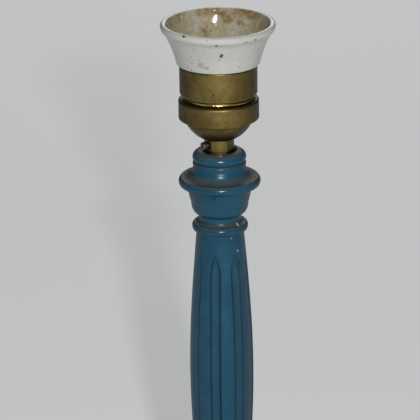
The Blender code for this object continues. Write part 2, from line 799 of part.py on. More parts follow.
def bowl_radius(depth):
    """Radius of the cap's bowl at a depth below the band."""
    share = depth / CAP_BOWL_FULL_DEPTH
    return CAP_BOWL_RADIUS * (1 - share**CAP_BOWL_FALL_POWER) ** (1 / CAP_BOWL_ROUND_POWER)


def cap_outline():
    """Outer side of the brass cap from the top of its neck, then its inner side back up."""
    wall = BRASS_WALL
    outline = [(CAP_NECK_RADIUS, CAP_NECK_ABOVE), (CAP_NECK_RADIUS, SHOULDER_TOP)]
    outline += arc(
        CAP_RADIUS - CAP_SHOULDER_HEIGHT,
        BAND_TOP,
        CAP_SHOULDER_HEIGHT,
        CAP_SHOULDER_HEIGHT,
        80,
        0,
        4,
    )
    outline += [
        (CAP_RADIUS, BAND_BOTTOM + CAP_LIP_ROUND),
        (CAP_RADIUS - CAP_LIP_ROUND, BAND_BOTTOM),
    ]
    for share in BOWL_SHARES:
        depth = CAP_BOWL_DEPTH * share
        outline.append((bowl_radius(depth), BAND_BOTTOM - depth))
    outline += [
        (CAP_HOLE_RADIUS, CAP_FLOOR),
        (CAP_HOLE_RADIUS, CAP_FLOOR + wall),
        (bowl_radius(CAP_BOWL_DEPTH) - wall, CAP_FLOOR + wall),
    ]
    for share in reversed(BOWL_SHARES[1:-1]):
        depth = CAP_BOWL_DEPTH * share
        inner = min(bowl_radius(depth), bowl_radius(0.0)) - wall
        outline.append((inner, BAND_BOTTOM - depth + wall))
    outline += [
        (CAP_RADIUS - wall, BAND_BOTTOM + wall),
        (CAP_RADIUS - wall, BAND_TOP - wall / 2),
        (CAP_NECK_RADIUS - wall, SHOULDER_TOP - wall / 2),
        (CAP_NECK_RADIUS - wall, CAP_NECK_ABOVE),
    ]
    return outline


def slotted_screw(name, head_radius, head_height, shank_radius, shank_length, steps):
    """A screw whose head stands up Z from its origin, with the shank below it."""
    chamfer = head_height * SCREW_CHAMFER_SHARE
    outline = [
        (0.0, head_height),
        (head_radius - chamfer, head_height),
        (head_radius, head_height - chamfer),
        (head_radius, 0.0),
        (shank_radius, 0.0),
        (shank_radius, -shank_length),
        (0.0, -shank_length),
    ]
    return turned(name, outline, steps, closed=False)


def slot_cutter(bench, screw, head_radius, head_height, parent, location, direction=None):
    """Cut the driver's slot across a screw's head."""
    depth = SCREW_SLOT_DEPTH
    bm = bmesh.new()
    size = (2 * (head_radius + CUT_OVERRUN), SCREW_SLOT_WIDTH, depth + CUT_OVERRUN)
    middle = Matrix.Translation((0.0, 0.0, head_height - depth + size[2] / 2))
    bmesh.ops.create_cube(bm, size=1.0, matrix=middle @ Matrix.Diagonal((*size, 1.0)))
    cutter = mesh_object(f"{screw.name}_slot", bm)
    bench.tool(cutter, parent, location, direction)
    bench.boolean(screw, cutter, "DIFFERENCE")


def build_neck(bench, brass, steel):
    """Hexagonal neck collar, riveted into the cap, and its locking screw."""
    hex_length = HEX_TOP - HEX_BOTTOM
    collar = cylinder("neck_collar", hexagon_radius(NECK_FLATS), hex_length, 6, math.pi / 6)
    bench.keep(collar, bench.holder, brass, (0.0, 0.0, HEX_BOTTOM))
    rivet_base = CAP_FLOOR + BRASS_WALL + SEAT_GAP
    outline = [
        (0.0, rivet_base + RIVET_THICKNESS),
        (RIVET_RADIUS, rivet_base + RIVET_THICKNESS),
        (RIVET_RADIUS, rivet_base),
        (NECK_ROUND_RADIUS, rivet_base),
        (NECK_ROUND_RADIUS, HEX_BOTTOM + hex_length / 2),
        (0.0, HEX_BOTTOM + hex_length / 2),
    ]
    rivet = turned("neck_rivet", outline, BRASS_STEPS, closed=False)
    bench.tool(rivet, bench.holder)
    bench.boolean(collar, rivet, "UNION")
    bore_length = rivet_base + RIVET_THICKNESS - HEX_BOTTOM + 2 * CUT_OVERRUN
    bore = cylinder("neck_bore", WOOD_BORE_RADIUS, bore_length, SMALL_STEPS)
    bench.tool(bore, bench.holder, (0.0, 0.0, HEX_BOTTOM - CUT_OVERRUN))
    bench.boolean(collar, bore, "DIFFERENCE")

    outwards = front_direction(LOCK_SCREW_TURN)
    height = CAP_FLOOR - LOCK_SCREW_BELOW_CAP
    axis_point = Vector((0.0, 0.0, height))
    hole = cylinder(
        "lock_screw_hole",
        LOCK_SCREW_SHANK_RADIUS + RUNNING_GAP,
        NECK_FLATS / 2 + CUT_OVERRUN,
        TINY_STEPS,
    )
    bench.tool(hole, bench.holder, axis_point, outwards)
    bench.boolean(collar, hole, "DIFFERENCE")

    head_base = NECK_FLATS / 2 + LOCK_SCREW_STANDOUT
    shank_length = head_base - TUBE_RADIUS - SEAT_GAP
    seat = axis_point + outwards * head_base
    screw = slotted_screw(
        "lock_screw",
        LOCK_SCREW_HEAD_RADIUS,
        LOCK_SCREW_HEAD_HEIGHT,
        LOCK_SCREW_SHANK_RADIUS,
        shank_length,
        SMALL_STEPS,
    )
    bench.keep(screw, bench.holder, steel, seat, outwards)
    slot_cutter(
        bench,
        screw,
        LOCK_SCREW_HEAD_RADIUS,
        LOCK_SCREW_HEAD_HEIGHT,
        bench.holder,
        seat,
        outwards,
    )


def collar_outline():
    """Outer side of the porcelain collar from its crest, then its spigot and its funnel."""
    base = COLLAR_BASE
    rim_middle = base + COLLAR_RIM_HEIGHT
    rim_centre = COLLAR_RIM_RADIUS - COLLAR_RIM_ROUND
    spigot_radius = SLEEVE_BORE_RADIUS - RUNNING_GAP
    spigot_bottom = base - COLLAR_SPIGOT_LENGTH
    outline = arc(rim_centre, rim_middle, COLLAR_RIM_ROUND, COLLAR_RIM_RISE, 90, 0, 4)
    outline += arc(rim_centre, rim_middle, COLLAR_RIM_ROUND, COLLAR_RIM_DROP, -20, -55, 3)
    flare_bottom = base + COLLAR_BASE_ROUND
    for index in range(COLLAR_CURVE_COUNT):
        share = index / COLLAR_CURVE_COUNT
        radius = COLLAR_FLARE_RADIUS + (COLLAR_BASE_RADIUS - COLLAR_FLARE_RADIUS) * share
        radius -= COLLAR_FLARE_BEND * math.sin(math.pi * share)
        height = base + COLLAR_FLARE_HEIGHT
        outline.append((radius, height + (flare_bottom - height) * share))
    outline += arc(
        COLLAR_BASE_RADIUS - COLLAR_BASE_ROUND,
        flare_bottom,
        COLLAR_BASE_ROUND,
        COLLAR_BASE_ROUND,
        0,
        -90,
        4,
    )
    funnel_bottom = rim_middle - COLLAR_FUNNEL_DEPTH
    outline += [
        (spigot_radius, base),
        (spigot_radius, spigot_bottom),
        (COLLAR_BORE_RADIUS, spigot_bottom),
        (COLLAR_BORE_RADIUS, funnel_bottom),
    ]
    mouth_radius = rim_centre - COLLAR_RIM_ROUND
    for index in range(1, COLLAR_CURVE_COUNT + 1):
        share = index / COLLAR_CURVE_COUNT
        spread = 1 - (1 - share) ** COLLAR_FUNNEL_POWER
        radius = COLLAR_BORE_RADIUS + (mouth_radius - COLLAR_BORE_RADIUS) * spread
        outline.append((radius, funnel_bottom + COLLAR_FUNNEL_DEPTH * share))
    outline += arc(rim_centre, rim_middle, COLLAR_RIM_ROUND, COLLAR_RIM_RISE, 150, 120, 2)
    return outline


def build_shell(bench, brass):
    """Rolled E27 thread shell with a floor, as a wrapped sheet with a wall."""
    floor_rows = 1
    wall_rows = SHELL_TURN_ROW_COUNT * THREAD_TURNS
    rows = floor_rows + wall_rows + 1
    wall_height = THREAD_PITCH * THREAD_TURNS
    middle = (THREAD_CREST_RADIUS + THREAD_ROOT_RADIUS) / 2 + SHELL_WALL
    wave = (THREAD_ROOT_RADIUS - THREAD_CREST_RADIUS) / 2
    bm = bmesh.new()
    half = UNIT_GRID_HALF_SHARE
    bmesh.ops.create_grid(bm, x_segments=SHELL_STEPS, y_segments=rows, size=half)
    for vertex in bm.verts:
        turn = (vertex.co.x + half) * 2 * math.pi
        row = round((vertex.co.y + half) * rows)
        climb = max(row - floor_rows, 0) / SHELL_TURN_ROW_COUNT
        at_rim = row > floor_rows + wall_rows
        height = min(climb, THREAD_TURNS) * THREAD_PITCH
        radius = middle + wave * math.sin(2 * math.pi * climb - turn)
        if row <= floor_rows:
            radius = middle
        if row < floor_rows:
            radius = SHELL_FLOOR_HOLE_RADIUS
        if at_rim:
            radius = middle
            height = wall_height + SHELL_RIM_HEIGHT
        vertex.co = (radius * math.cos(turn), radius * math.sin(turn), height)
    bmesh.ops.remove_doubles(bm, verts=bm.verts, dist=MERGE_DISTANCE)
    shell = mesh_object("screw_shell", bm)
    bench.keep(shell, bench.holder, brass, (0.0, 0.0, SHELL_FLOOR))
    wall = shell.modifiers.new("Wall", "SOLIDIFY")
    wall.thickness = SHELL_WALL
    wall.offset = -1.0
    hole_radius = SMALL_SCREW_SHANK_RADIUS + RUNNING_GAP
    for side in (-1, 1):
        hole = cylinder(
            f"shell_hole_{'left' if side < 0 else 'right'}",
            hole_radius,
            2 * CUT_OVERRUN,
            TINY_STEPS,
        )
        location = (0.0, side * SHELL_SCREW_OFFSET, SHELL_FLOOR - CUT_OVERRUN)
        bench.tool(hole, bench.holder, location)
        bench.boolean(shell, hole, "DIFFERENCE")


def strip(name, path, width):
    """A bent strip: its path in (x, z), carried across Y and given its thickness."""
    bm = bmesh.new()
    points = [bm.verts.new((x, -width / 2, z)) for x, z in path]
    edges = [bm.edges.new(pair) for pair in zip(points, points[1:])]
    made = bmesh.ops.extrude_edge_only(bm, edges=edges)["geom"]
    moved = [item for item in made if isinstance(item, bmesh.types.BMVert)]
    bmesh.ops.translate(bm, verts=moved, vec=(0.0, width, 0.0))
    bmesh.ops.recalc_face_normals(bm, faces=bm.faces)
    body = mesh_object(name, bm)
    wall = body.modifiers.new("Thickness", "SOLIDIFY")
    wall.thickness = LEAF_THICKNESS
    wall.offset = 0.0
    return body


def build_core(bench, porcelain, brass, steel):
    """Porcelain core with the parts that carry the current."""
    flange_radius = SLEEVE_BORE_RADIUS - RUNNING_GAP
    outline = [
        (0.0, CORE_FLOOR),
        (CORE_WELL_RADIUS, CORE_FLOOR),
        (CORE_WELL_RADIUS, CORE_TOP),
        (flange_radius, CORE_TOP),
        (flange_radius, CORE_FLANGE_BOTTOM),
        (CORE_BODY_RADIUS, CORE_FLANGE_BOTTOM),
        (CORE_BODY_RADIUS, CORE_BOTTOM),
        (0.0, CORE_BOTTOM),
    ]
    core = turned("porcelain_core", outline, BRASS_STEPS, closed=False)
    bench.keep(core, bench.holder, porcelain)
    shell_screw_depth = SMALL_SCREW_LENGTH - SHELL_WALL
    for side in (-1, 1):
        name = "left" if side < 0 else "right"
        wire = cylinder(
            f"wire_hole_{name}",
            WIRE_HOLE_RADIUS,
            CORE_FLOOR - CORE_BOTTOM + 2 * CUT_OVERRUN,
            TINY_STEPS,
        )
        bench.tool(
            wire, bench.holder, (side * WIRE_HOLE_OFFSET, 0.0, CORE_BOTTOM - CUT_OVERRUN)
        )
        bench.boolean(core, wire, "DIFFERENCE")
        screw_hole = cylinder(
            f"core_screw_hole_{name}",
            SMALL_SCREW_SHANK_RADIUS + RUNNING_GAP,
            shell_screw_depth + CUT_OVERRUN,
            TINY_STEPS,
        )
        location = (0.0, side * SHELL_SCREW_OFFSET, CORE_FLOOR - shell_screw_depth)
        bench.tool(screw_hole, bench.holder, location)
        bench.boolean(core, screw_hole, "DIFFERENCE")

    screw_seat = SHELL_FLOOR_TOP + SEAT_GAP
    for side in (-1, 1):
        location = (0.0, side * SHELL_SCREW_OFFSET, screw_seat)
        screw = slotted_screw(
            f"shell_screw_{'front' if side < 0 else 'back'}",
            SMALL_SCREW_HEAD_RADIUS,
            SMALL_SCREW_HEAD_HEIGHT,
            SMALL_SCREW_SHANK_RADIUS,
            SMALL_SCREW_LENGTH - SHELL_WALL - SEAT_GAP,
            TINY_STEPS,
        )
        bench.keep(screw, bench.holder, steel, location)
        slot_cutter(
            bench,
            screw,
            SMALL_SCREW_HEAD_RADIUS,
            SMALL_SCREW_HEAD_HEIGHT,
            bench.holder,
            location,
        )
    build_contact(bench, core, brass, steel)
    build_terminals(bench, brass, steel)


def build_contact(bench, core, brass, steel):
    """Centre contact: a tab on the core's floor and the leaf that springs from it."""
    tab_height = CORE_FLOOR + SEAT_GAP + LEAF_THICKNESS / 2
    tab_middle = TAB_END - TAB_LENGTH / 2
    tab = block("contact_tab", (TAB_LENGTH, LEAF_WIDTH, LEAF_THICKNESS))
    bench.keep(tab, bench.holder, brass, (tab_middle, 0.0, tab_height))
    hole_radius = SMALL_SCREW_SHANK_RADIUS + RUNNING_GAP
    tab_hole = cylinder("contact_screw_hole", hole_radius, SMALL_SCREW_LENGTH, TINY_STEPS)
    hole_base = CORE_FLOOR + LEAF_THICKNESS + 2 * SEAT_GAP + CUT_OVERRUN - SMALL_SCREW_LENGTH
    bench.tool(tab_hole, bench.holder, (tab_middle, 0.0, hole_base))
    bench.boolean(tab, tab_hole, "DIFFERENCE")
    bench.boolean(core, tab_hole, "DIFFERENCE")

    seat = (tab_middle, 0.0, CORE_FLOOR + LEAF_THICKNESS + 2 * SEAT_GAP)
    screw = slotted_screw(
        "contact_screw",
        SMALL_SCREW_HEAD_RADIUS * CONTACT_SCREW_SHARE,
        SMALL_SCREW_HEAD_HEIGHT * CONTACT_SCREW_SHARE,
        SMALL_SCREW_SHANK_RADIUS,
        SMALL_SCREW_LENGTH - CUT_OVERRUN - SEAT_GAP,
        TINY_STEPS,
    )
    bench.keep(screw, bench.holder, steel, seat)

    root = TAB_END + RUNNING_GAP
    nose_end = LEAF_RUN + LEAF_NOSE
    leaf_path = [
        (0.0, 0.0),
        (LEAF_RUN, LEAF_RISE),
        (LEAF_RUN + LEAF_NOSE / 2, LEAF_RISE + LEAF_NOSE_RISE),
        (nose_end, LEAF_RISE),
        (nose_end + LEAF_NOSE * LEAF_TIP_SHARE, LEAF_RISE - LEAF_NOSE_DROP),
    ]
    leaf = strip("centre_contact", leaf_path, LEAF_WIDTH)
    bench.keep(leaf, bench.holder, brass, (root, 0.0, tab_height))


def build_terminals(bench, brass, steel):
    """Two clamping blocks under the core, each with its screw on its outer side."""
    height = CORE_BOTTOM - SEAT_GAP - TERMINAL_HEIGHT / 2
    screw_height = height - TERMINAL_SCREW_DROP
    outer_face = TERMINAL_OFFSET + TERMINAL_LENGTH / 2
    for side, name in ((-1, "live_terminal"), (1, "neutral_terminal")):
        terminal = block(name, (TERMINAL_LENGTH, TERMINAL_WIDTH, TERMINAL_HEIGHT))
        bench.keep(terminal, bench.holder, brass, (side * TERMINAL_OFFSET, 0.0, height))
        way = cylinder(
            f"{name}_wire_way",
            TERMINAL_WIRE_RADIUS,
            TERMINAL_HEIGHT + 2 * CUT_OVERRUN,
            TINY_STEPS,
        )
        bench.tool(
            way,
            bench.holder,
            (side * TERMINAL_OFFSET, 0.0, height - TERMINAL_HEIGHT / 2 - CUT_OVERRUN),
        )
        bench.boolean(terminal, way, "DIFFERENCE")
        hole = cylinder(
            f"{name}_screw_hole",
            SMALL_SCREW_SHANK_RADIUS + RUNNING_GAP,
            TERMINAL_LENGTH / 2 + CUT_OVERRUN,
            TINY_STEPS,
        )
        outwards = Vector((side, 0.0, 0.0))
        bench.tool(hole, bench.holder, (side * TERMINAL_OFFSET, 0.0, screw_height), outwards)
        bench.boolean(terminal, hole, "DIFFERENCE")

        seat = (side * (outer_face + SEAT_GAP), 0.0, screw_height)
        screw = slotted_screw(
            name.replace("terminal", "terminal_screw"),
            SMALL_SCREW_HEAD_RADIUS,
            SMALL_SCREW_HEAD_HEIGHT,
            SMALL_SCREW_SHANK_RADIUS,
            TERMINAL_SCREW_LENGTH,
            TINY_STEPS,
        )
        bench.keep(screw, bench.holder, steel, seat, outwards)
        slot_cutter(
            bench,
            screw,
            SMALL_SCREW_HEAD_RADIUS,
            SMALL_SCREW_HEAD_HEIGHT,
            bench.holder,
            seat,
            outwards,
        )


def build_holder(bench, brass, steel, porcelain):
    """Brass cap, neck, sleeve, porcelain collar and everything inside them."""
    cap = turned("holder_cap", cap_outline(), BRASS_STEPS)
    bench.keep(cap, bench.holder, brass)
    build_neck(bench, brass, steel)

    outline = [(SLEEVE_RADIUS, SLEEVE_LENGTH)]
    outline += arc(
        SLEEVE_RADIUS - SLEEVE_EDGE_ROUND,
        SLEEVE_EDGE_ROUND,
        SLEEVE_EDGE_ROUND,
        SLEEVE_EDGE_ROUND,
        0,
        -75,
        4,
    )
    outline += [(SLEEVE_BORE_RADIUS, SLEEVE_EDGE_ROUND / 2), (SLEEVE_BORE_RADIUS, SLEEVE_LENGTH)]
    sleeve = turned("holder_sleeve", outline, BRASS_STEPS)
    bench.keep(sleeve, bench.holder, brass)

    collar = turned("porcelain_collar", collar_outline(), BRASS_STEPS)
    bench.keep(collar, bench.holder, porcelain)
    build_core(bench, porcelain, brass, steel)
    build_shell(bench, brass)


def main():
    """Build the whole lamp base."""
    clear_scene()
    bench = Bench()
    blue = paint("blue_paint", (0.020, 0.085, 0.140), 0.42)
    brass = paint("aged_brass", (0.330, 0.250, 0.090), 0.38, 1.0)
    steel = paint("zinc_steel", (0.420, 0.410, 0.390), 0.40, 1.0)
    porcelain = paint("white_porcelain", (0.780, 0.780, 0.740), 0.12)
    felt = paint("green_felt", (0.030, 0.070, 0.040), 0.95)
    build_foot(bench, blue, felt, brass)
    build_column(bench, blue)
    build_clamp(bench, steel, brass)
    build_holder(bench, brass, steel, porcelain)


main()
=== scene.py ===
"""Looks of a painted wooden lamp base with a brass lampholder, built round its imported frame.

The column is turned and fluted wood under worn blue paint. The holder on top is aged brass, and
its collar is glazed porcelain. Each new surface is a grid of points that a formula gives: a grid
has the shape (rows, columns, 3), and an outline is rows of (radius, height), in metres.
"""

import logging
import math
from collections.abc import Sequence
from dataclasses import dataclass, field
from enum import Enum
from typing import Any, ClassVar

import bmesh
import bpy
import numpy as np
from mathutils import Matrix, Vector


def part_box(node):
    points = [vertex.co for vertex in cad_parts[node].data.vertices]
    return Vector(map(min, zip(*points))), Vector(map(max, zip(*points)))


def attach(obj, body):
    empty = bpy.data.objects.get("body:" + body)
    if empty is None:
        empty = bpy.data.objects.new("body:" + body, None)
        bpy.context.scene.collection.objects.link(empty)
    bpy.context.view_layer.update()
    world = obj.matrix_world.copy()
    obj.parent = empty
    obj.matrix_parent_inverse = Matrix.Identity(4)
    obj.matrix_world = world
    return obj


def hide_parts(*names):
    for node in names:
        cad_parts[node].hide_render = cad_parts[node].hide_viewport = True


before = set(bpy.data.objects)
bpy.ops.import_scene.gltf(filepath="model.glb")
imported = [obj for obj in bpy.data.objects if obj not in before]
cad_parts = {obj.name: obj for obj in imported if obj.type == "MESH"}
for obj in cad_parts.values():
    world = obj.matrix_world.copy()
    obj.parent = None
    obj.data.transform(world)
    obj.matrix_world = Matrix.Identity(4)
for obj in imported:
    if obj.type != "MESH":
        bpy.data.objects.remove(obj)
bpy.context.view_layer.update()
LOG = logging.getLogger("lamp_base")

FULL_TURN = 2 * math.pi
UP = Vector((0.0, 0.0, 1.0))
BACK = Vector((0.0, 1.0, 0.0))
SHARP_ANGLE = math.radians(38.0)
POLE_MERGE = 1e-7
BAR_COLUMNS = 64
BAR_POWER = 8.0
DRILL_COLUMNS = 64

Grid = np.ndarray
Outline = np.ndarray
Socket = bpy.types.NodeSocket
Pair = tuple[float, float]
Place = tuple[float, float, float]
Colour = tuple[float, float, float, float]
Rows = tuple[tuple[float, ...], ...]


class Slot(Enum):
    """Material slots of the record."""

    PAINT = "blue_paint"
    BRASS = "brass"
    STEEL = "steel"
    PORCELAIN = "porcelain"
    FELT = "felt"


class Body(Enum):
    """Bodies that pieces ride on."""

    COLUMN = "root"
    HOLDER = "holder"
    SLEEVE = "sleeve"
    COLLAR = "collar"
    LOCK = "locking_screw"
    CONTACT = "contact"


def colour(red: int, green: int, blue: int) -> Colour:
    """Turn an sRGB colour of 0 to 255 into the linear colour that shaders take.

    Args:
        red: Red share, 0 to 255.
        green: Green share, 0 to 255.
        blue: Blue share, 0 to 255.

    Returns:
        Linear red, green, blue and an alpha of 1.
    """
    channels = np.array([red, green, blue]) / 255.0
    linear = np.where(channels <= 0.04045, channels / 12.92, ((channels + 0.055) / 1.055) ** 2.4)
    return (*linear.tolist(), 1.0)


def arc(centre: Pair, reach: Pair, angles: Pair, count: int = 18) -> Outline:
    """Points of an elliptical arc: centre plus reach times the cosine and sine of the angle.

    Args:
        centre: Radius and height of the middle.
        reach: Half width and half height.
        angles: First and last angle in degrees, 0 points outwards and 90 up.
        count: Number of points.

    Returns:
        The arc's outline.
    """
    turn = np.radians(np.linspace(*angles, count))
    return np.stack([centre[0] + reach[0] * np.cos(turn), centre[1] + reach[1] * np.sin(turn)], 1)


def sweep(start: Pair, end: Pair, power: float, count: int = 24) -> Outline:
    """Points whose height falls evenly while the radius follows a power of that share.

    Args:
        start: First radius and height.
        end: Last radius and height.
        power: 1 is a straight line, more is hollow at the start.
        count: Number of points.

    Returns:
        The curve's outline.
    """
    share = np.linspace(0.0, 1.0, count)
    radius = start[0] + (end[0] - start[0]) * share**power
    return np.stack([radius, start[1] + (end[1] - start[1]) * share], 1)


def joined(pieces: Sequence[Any]) -> Outline:
    """Join outlines and single (radius, height) points into one outline."""
    return np.concatenate([np.atleast_2d(piece) for piece in pieces])


def chain(pieces: Sequence[Any], step: float, closed: bool = True) -> Outline:
    """Join outlines and add points so that no straight stretch is longer than step.

    Args:
        pieces: Outlines and single points in order.
        step: Longest stretch between two points.
        closed: Whether the last point joins the first.

    Returns:
        One outline, with its corners kept.
    """
    points = joined(pieces)
    following = np.roll(points, -1, axis=0)
    if not closed:
        following[-1] = points[-1]
    length = np.linalg.norm(following - points, axis=1)
    keep = length > POLE_MERGE
    if not closed:
        keep[-1] = True
    points, following, length = points[keep], following[keep], length[keep]
    counts = np.maximum(np.ceil(length / step).astype(int), 1)
    first = np.repeat(np.cumsum(counts) - counts, counts)
    share = (np.arange(counts.sum()) - first) / np.repeat(counts, counts)
    reach = np.repeat(following - points, counts, axis=0)
    return np.repeat(points, counts, axis=0) + reach * share[:, None]


def softened(outline: Outline, passes: int, closed: bool = True) -> Outline:
    """Round corners: each pass moves a point half the way to the middle of its neighbours.

    Args:
        outline: The outline.
        passes: Number of passes, more gives rounder corners.
        closed: Whether the last point joins the first.

    Returns:
        The outline with as many points.
    """
    for _ in range(passes):
        middle = (np.roll(outline, 1, axis=0) + np.roll(outline, -1, axis=0)) / 2
        if not closed:
            middle[0], middle[-1] = outline[0], outline[-1]
        outline = (outline + middle) / 2
    return outline


def around(columns: int) -> np.ndarray:
    """Even angles round the axis, in radians."""
    return np.arange(columns) * FULL_TURN / columns


def turned(outline: Outline, turn: np.ndarray) -> Grid:
    """Turn an outline about Z: x is radius times cosine, y radius times sine, z the height.

    Args:
        outline: The outline, its outer side from the top down.
        turn: Angle of each column.

    Returns:
        The grid.
    """
    grid = np.empty((len(outline), len(turn), 3))
    grid[..., 0] = outline[:, :1] * np.cos(turn)
    grid[..., 1] = outline[:, :1] * np.sin(turn)
    grid[..., 2] = outline[:, 1:]
    return grid


def polar(grid: Grid) -> tuple[np.ndarray, np.ndarray, np.ndarray]:
    """Radius, height and share of a turn about Z of each point of a grid."""
    turn = np.arctan2(grid[..., 1], grid[..., 0]) / FULL_TURN
    return np.linalg.norm(grid[..., :2], axis=2), grid[..., 2], turn


def draw_in(grid: Grid, depth: np.ndarray, least: float) -> None:
    """Move each point of a grid towards the Z axis, as a share of its radius.

    Args:
        grid: The grid, which is changed.
        depth: How far each point moves.
        least: Smallest radius that the share is taken of.
    """
    radius = np.linalg.norm(grid[..., :2], axis=2)
    grid[..., :2] *= (1 - depth / np.maximum(radius, least))[..., None]


def thread(height: np.ndarray, turn: np.ndarray, pitch: float) -> np.ndarray:
    """Depth of a rolled thread, 0 to 1: a cosine wave once a pitch that climbs with the turn."""
    return 0.5 - 0.5 * np.cos(FULL_TURN * (height / pitch + turn))


def bell(distance: np.ndarray, reach: float) -> np.ndarray:
    """Bell curve: 1 at no distance, falling off about one reach away."""
    return np.exp(-((distance / reach) ** 2))


def section(half: Pair) -> np.ndarray:
    """Rounded rectangle: half sizes times cosine and sine, each to the power 2 over BAR_POWER."""
    waves = np.stack([np.cos(around(BAR_COLUMNS)), np.sin(around(BAR_COLUMNS))], 1)
    return np.sign(waves) * np.abs(waves) ** (2 / BAR_POWER) * np.array(half)


def bar(half: Pair, span: Pair, edge: float) -> Grid:
    """Rounded bar along Z: a rounded rectangle at each height, drawn in at both ends by an arc.

    Args:
        half: Half width and half depth.
        span: Lowest and highest height.
        edge: Size of the rounding at the ends.

    Returns:
        The grid, on the axis in its first and last row.
    """
    share = edge / max(half)
    above = arc((1 - share, span[1] - edge), (share, edge), (90, 0), 8)
    below = arc((1 - share, span[0] + edge), (share, edge), (0, -90), 8)
    outline = joined([(0.0, span[1]), above, below, (0.0, span[0])])
    grid = np.empty((len(outline), BAR_COLUMNS, 3))
    grid[..., :2] = outline[:, None, :1] * section(half)[None]
    grid[..., 2] = outline[:, 1:]
    return grid


def strip(path: np.ndarray, half: Pair) -> Grid:
    """Bent strip: each point is the path plus the section across Y and along the path's normal.

    Args:
        path: Rows of (x, z).
        half: Half width across Y and half thickness.

    Returns:
        The grid, drawn together in its first and last row.
    """
    tangent = np.gradient(path, axis=0)
    tangent /= np.linalg.norm(tangent, axis=1, keepdims=True)
    across = section(half)
    grid = np.empty((len(path), BAR_COLUMNS, 3))
    grid[..., 0] = path[:, :1] + tangent[:, 1:] * across[:, 1]
    grid[..., 1] = across[:, 0]
    grid[..., 2] = path[:, 1:] - tangent[:, :1] * across[:, 1]
    ends = grid[[0, -1]].mean(axis=1, keepdims=True)
    drawn = np.broadcast_to(ends, (2, BAR_COLUMNS, 3))
    return np.concatenate([drawn[:1], grid, drawn[1:]])


def aimed(grid: Grid, origin: Vector, axis: Vector) -> Grid:
    """Turn a grid from the Z axis to another axis and move its origin to a point."""
    matrix = np.array(UP.rotation_difference(axis).to_matrix())
    return grid @ matrix.T + np.array(origin)


def front(turn_degrees: float) -> Vector:
    """Level direction that many degrees to the right of the front, seen from the front."""
    turn = math.radians(turn_degrees)
    return Vector((math.sin(turn), -math.cos(turn), 0.0))


def bulge(grid: Grid, reach: int, closed_rows: bool) -> np.ndarray:
    """How far each point stands out of its neighbours, as curvature in 1/m, positive outwards.

    The normal is the cross product of the steps down the rows and round the columns. The value
    is twice the offset from the middle of two neighbours, along the normal, over the square of
    their mean distance. It is taken down the rows and round the columns and summed.

    Args:
        grid: The grid.
        reach: How many rows or columns away the neighbours lie.
        closed_rows: Whether the last row joins the first.

    Returns:
        Curvature of shape (rows, columns).
    """
    down = np.roll(grid, -1, axis=0) - np.roll(grid, 1, axis=0)
    if not closed_rows:
        down[0] = grid[1] - grid[0]
        down[-1] = grid[-1] - grid[-2]
    normal = np.cross(down, np.roll(grid, -1, axis=1) - np.roll(grid, 1, axis=1))
    normal /= np.maximum(np.linalg.norm(normal, axis=2, keepdims=True), 1e-12)
    total = np.zeros(grid.shape[:2])
    for axis in (0, 1):
        before = np.roll(grid, reach, axis=axis)
        after = np.roll(grid, -reach, axis=axis)
        offset = np.sum((grid - (before + after) / 2) * normal, axis=2)
        span = np.sum((after - before) ** 2, axis=2) / 4
        part = 2 * offset / np.maximum(span, 1e-10)
        if axis == 0 and not closed_rows:
            part[:reach] = 0.0
            part[-reach:] = 0.0
        total += part
    return total


def add_object(name: str, data: bpy.types.ID) -> bpy.types.Object:
    """Add an object with its data to the scene.

    Args:
        name: Name of the object.
        data: Its mesh, light or camera.

    Returns:
        The object.
    """
    made = bpy.data.objects.new(name, data)
    bpy.context.scene.collection.objects.link(made)
    return made


@dataclass
class Skin:
    """One piece's surface, as a grid of points wrapped round its columns."""

    name: str
    grid: Grid
    closed_rows: bool = True
    wear_reach: int = 2
    wear_scale: float = 900.0
    # painted shade in hollows and under parts, added to the crease attribute
    painted_shade: np.ndarray | None = None
    polish: np.ndarray | None = None

    def faces(self) -> np.ndarray:
        """Corner numbers of the quads between neighbouring rows and columns.

        Returns:
            Rows of four numbers.
        """
        rows, columns = self.grid.shape[:2]
        last = rows if self.closed_rows else rows - 1
        row, column = np.meshgrid(np.arange(last), np.arange(columns), indexing="ij")
        here, below = row * columns, (row + 1) % rows * columns
        beside = (column + 1) % columns
        corners = [here + column, below + column, below + beside, here + beside]
        return np.stack(corners, 2).reshape(-1, 4)

    def make(self) -> bpy.types.Object:
        """Build the object: merged poles, and worn edges, creases with their painted shade, and polish
        as attributes.

        Returns:
            The object.
        """
        mesh = bpy.data.meshes.new(self.name)
        mesh.from_pydata(self.grid.reshape(-1, 3), [], self.faces().tolist())
        curvature = bulge(self.grid, self.wear_reach, self.closed_rows).ravel() / self.wear_scale
        crease = np.clip(-curvature, 0.0, 1.0)
        # the painted shade is added to the crease attribute
        if self.painted_shade is not None:
            crease = np.maximum(crease, self.painted_shade.ravel())
        masks = {"edge": np.clip(curvature, 0.0, 1.0), "crease": crease}
        if self.polish is not None:
            masks["polish"] = self.polish.ravel()
        for name, values in masks.items():
            layer = mesh.attributes.new(name, "FLOAT", "POINT")
            layer.data.foreach_set("value", values.astype(np.float32))
        if not self.closed_rows:
            work = bmesh.new()
            work.from_mesh(mesh)
            bmesh.ops.remove_doubles(work, verts=work.verts, dist=POLE_MERGE)
            work.to_mesh(mesh)
            work.free()
        smooth(mesh)
        return add_object(self.name, mesh)


def smooth(mesh: bpy.types.Mesh) -> None:
    """Shade a mesh smooth, with its sharp edges kept."""
    mesh.shade_smooth()
    mesh.set_sharp_from_angle(angle=SHARP_ANGLE)


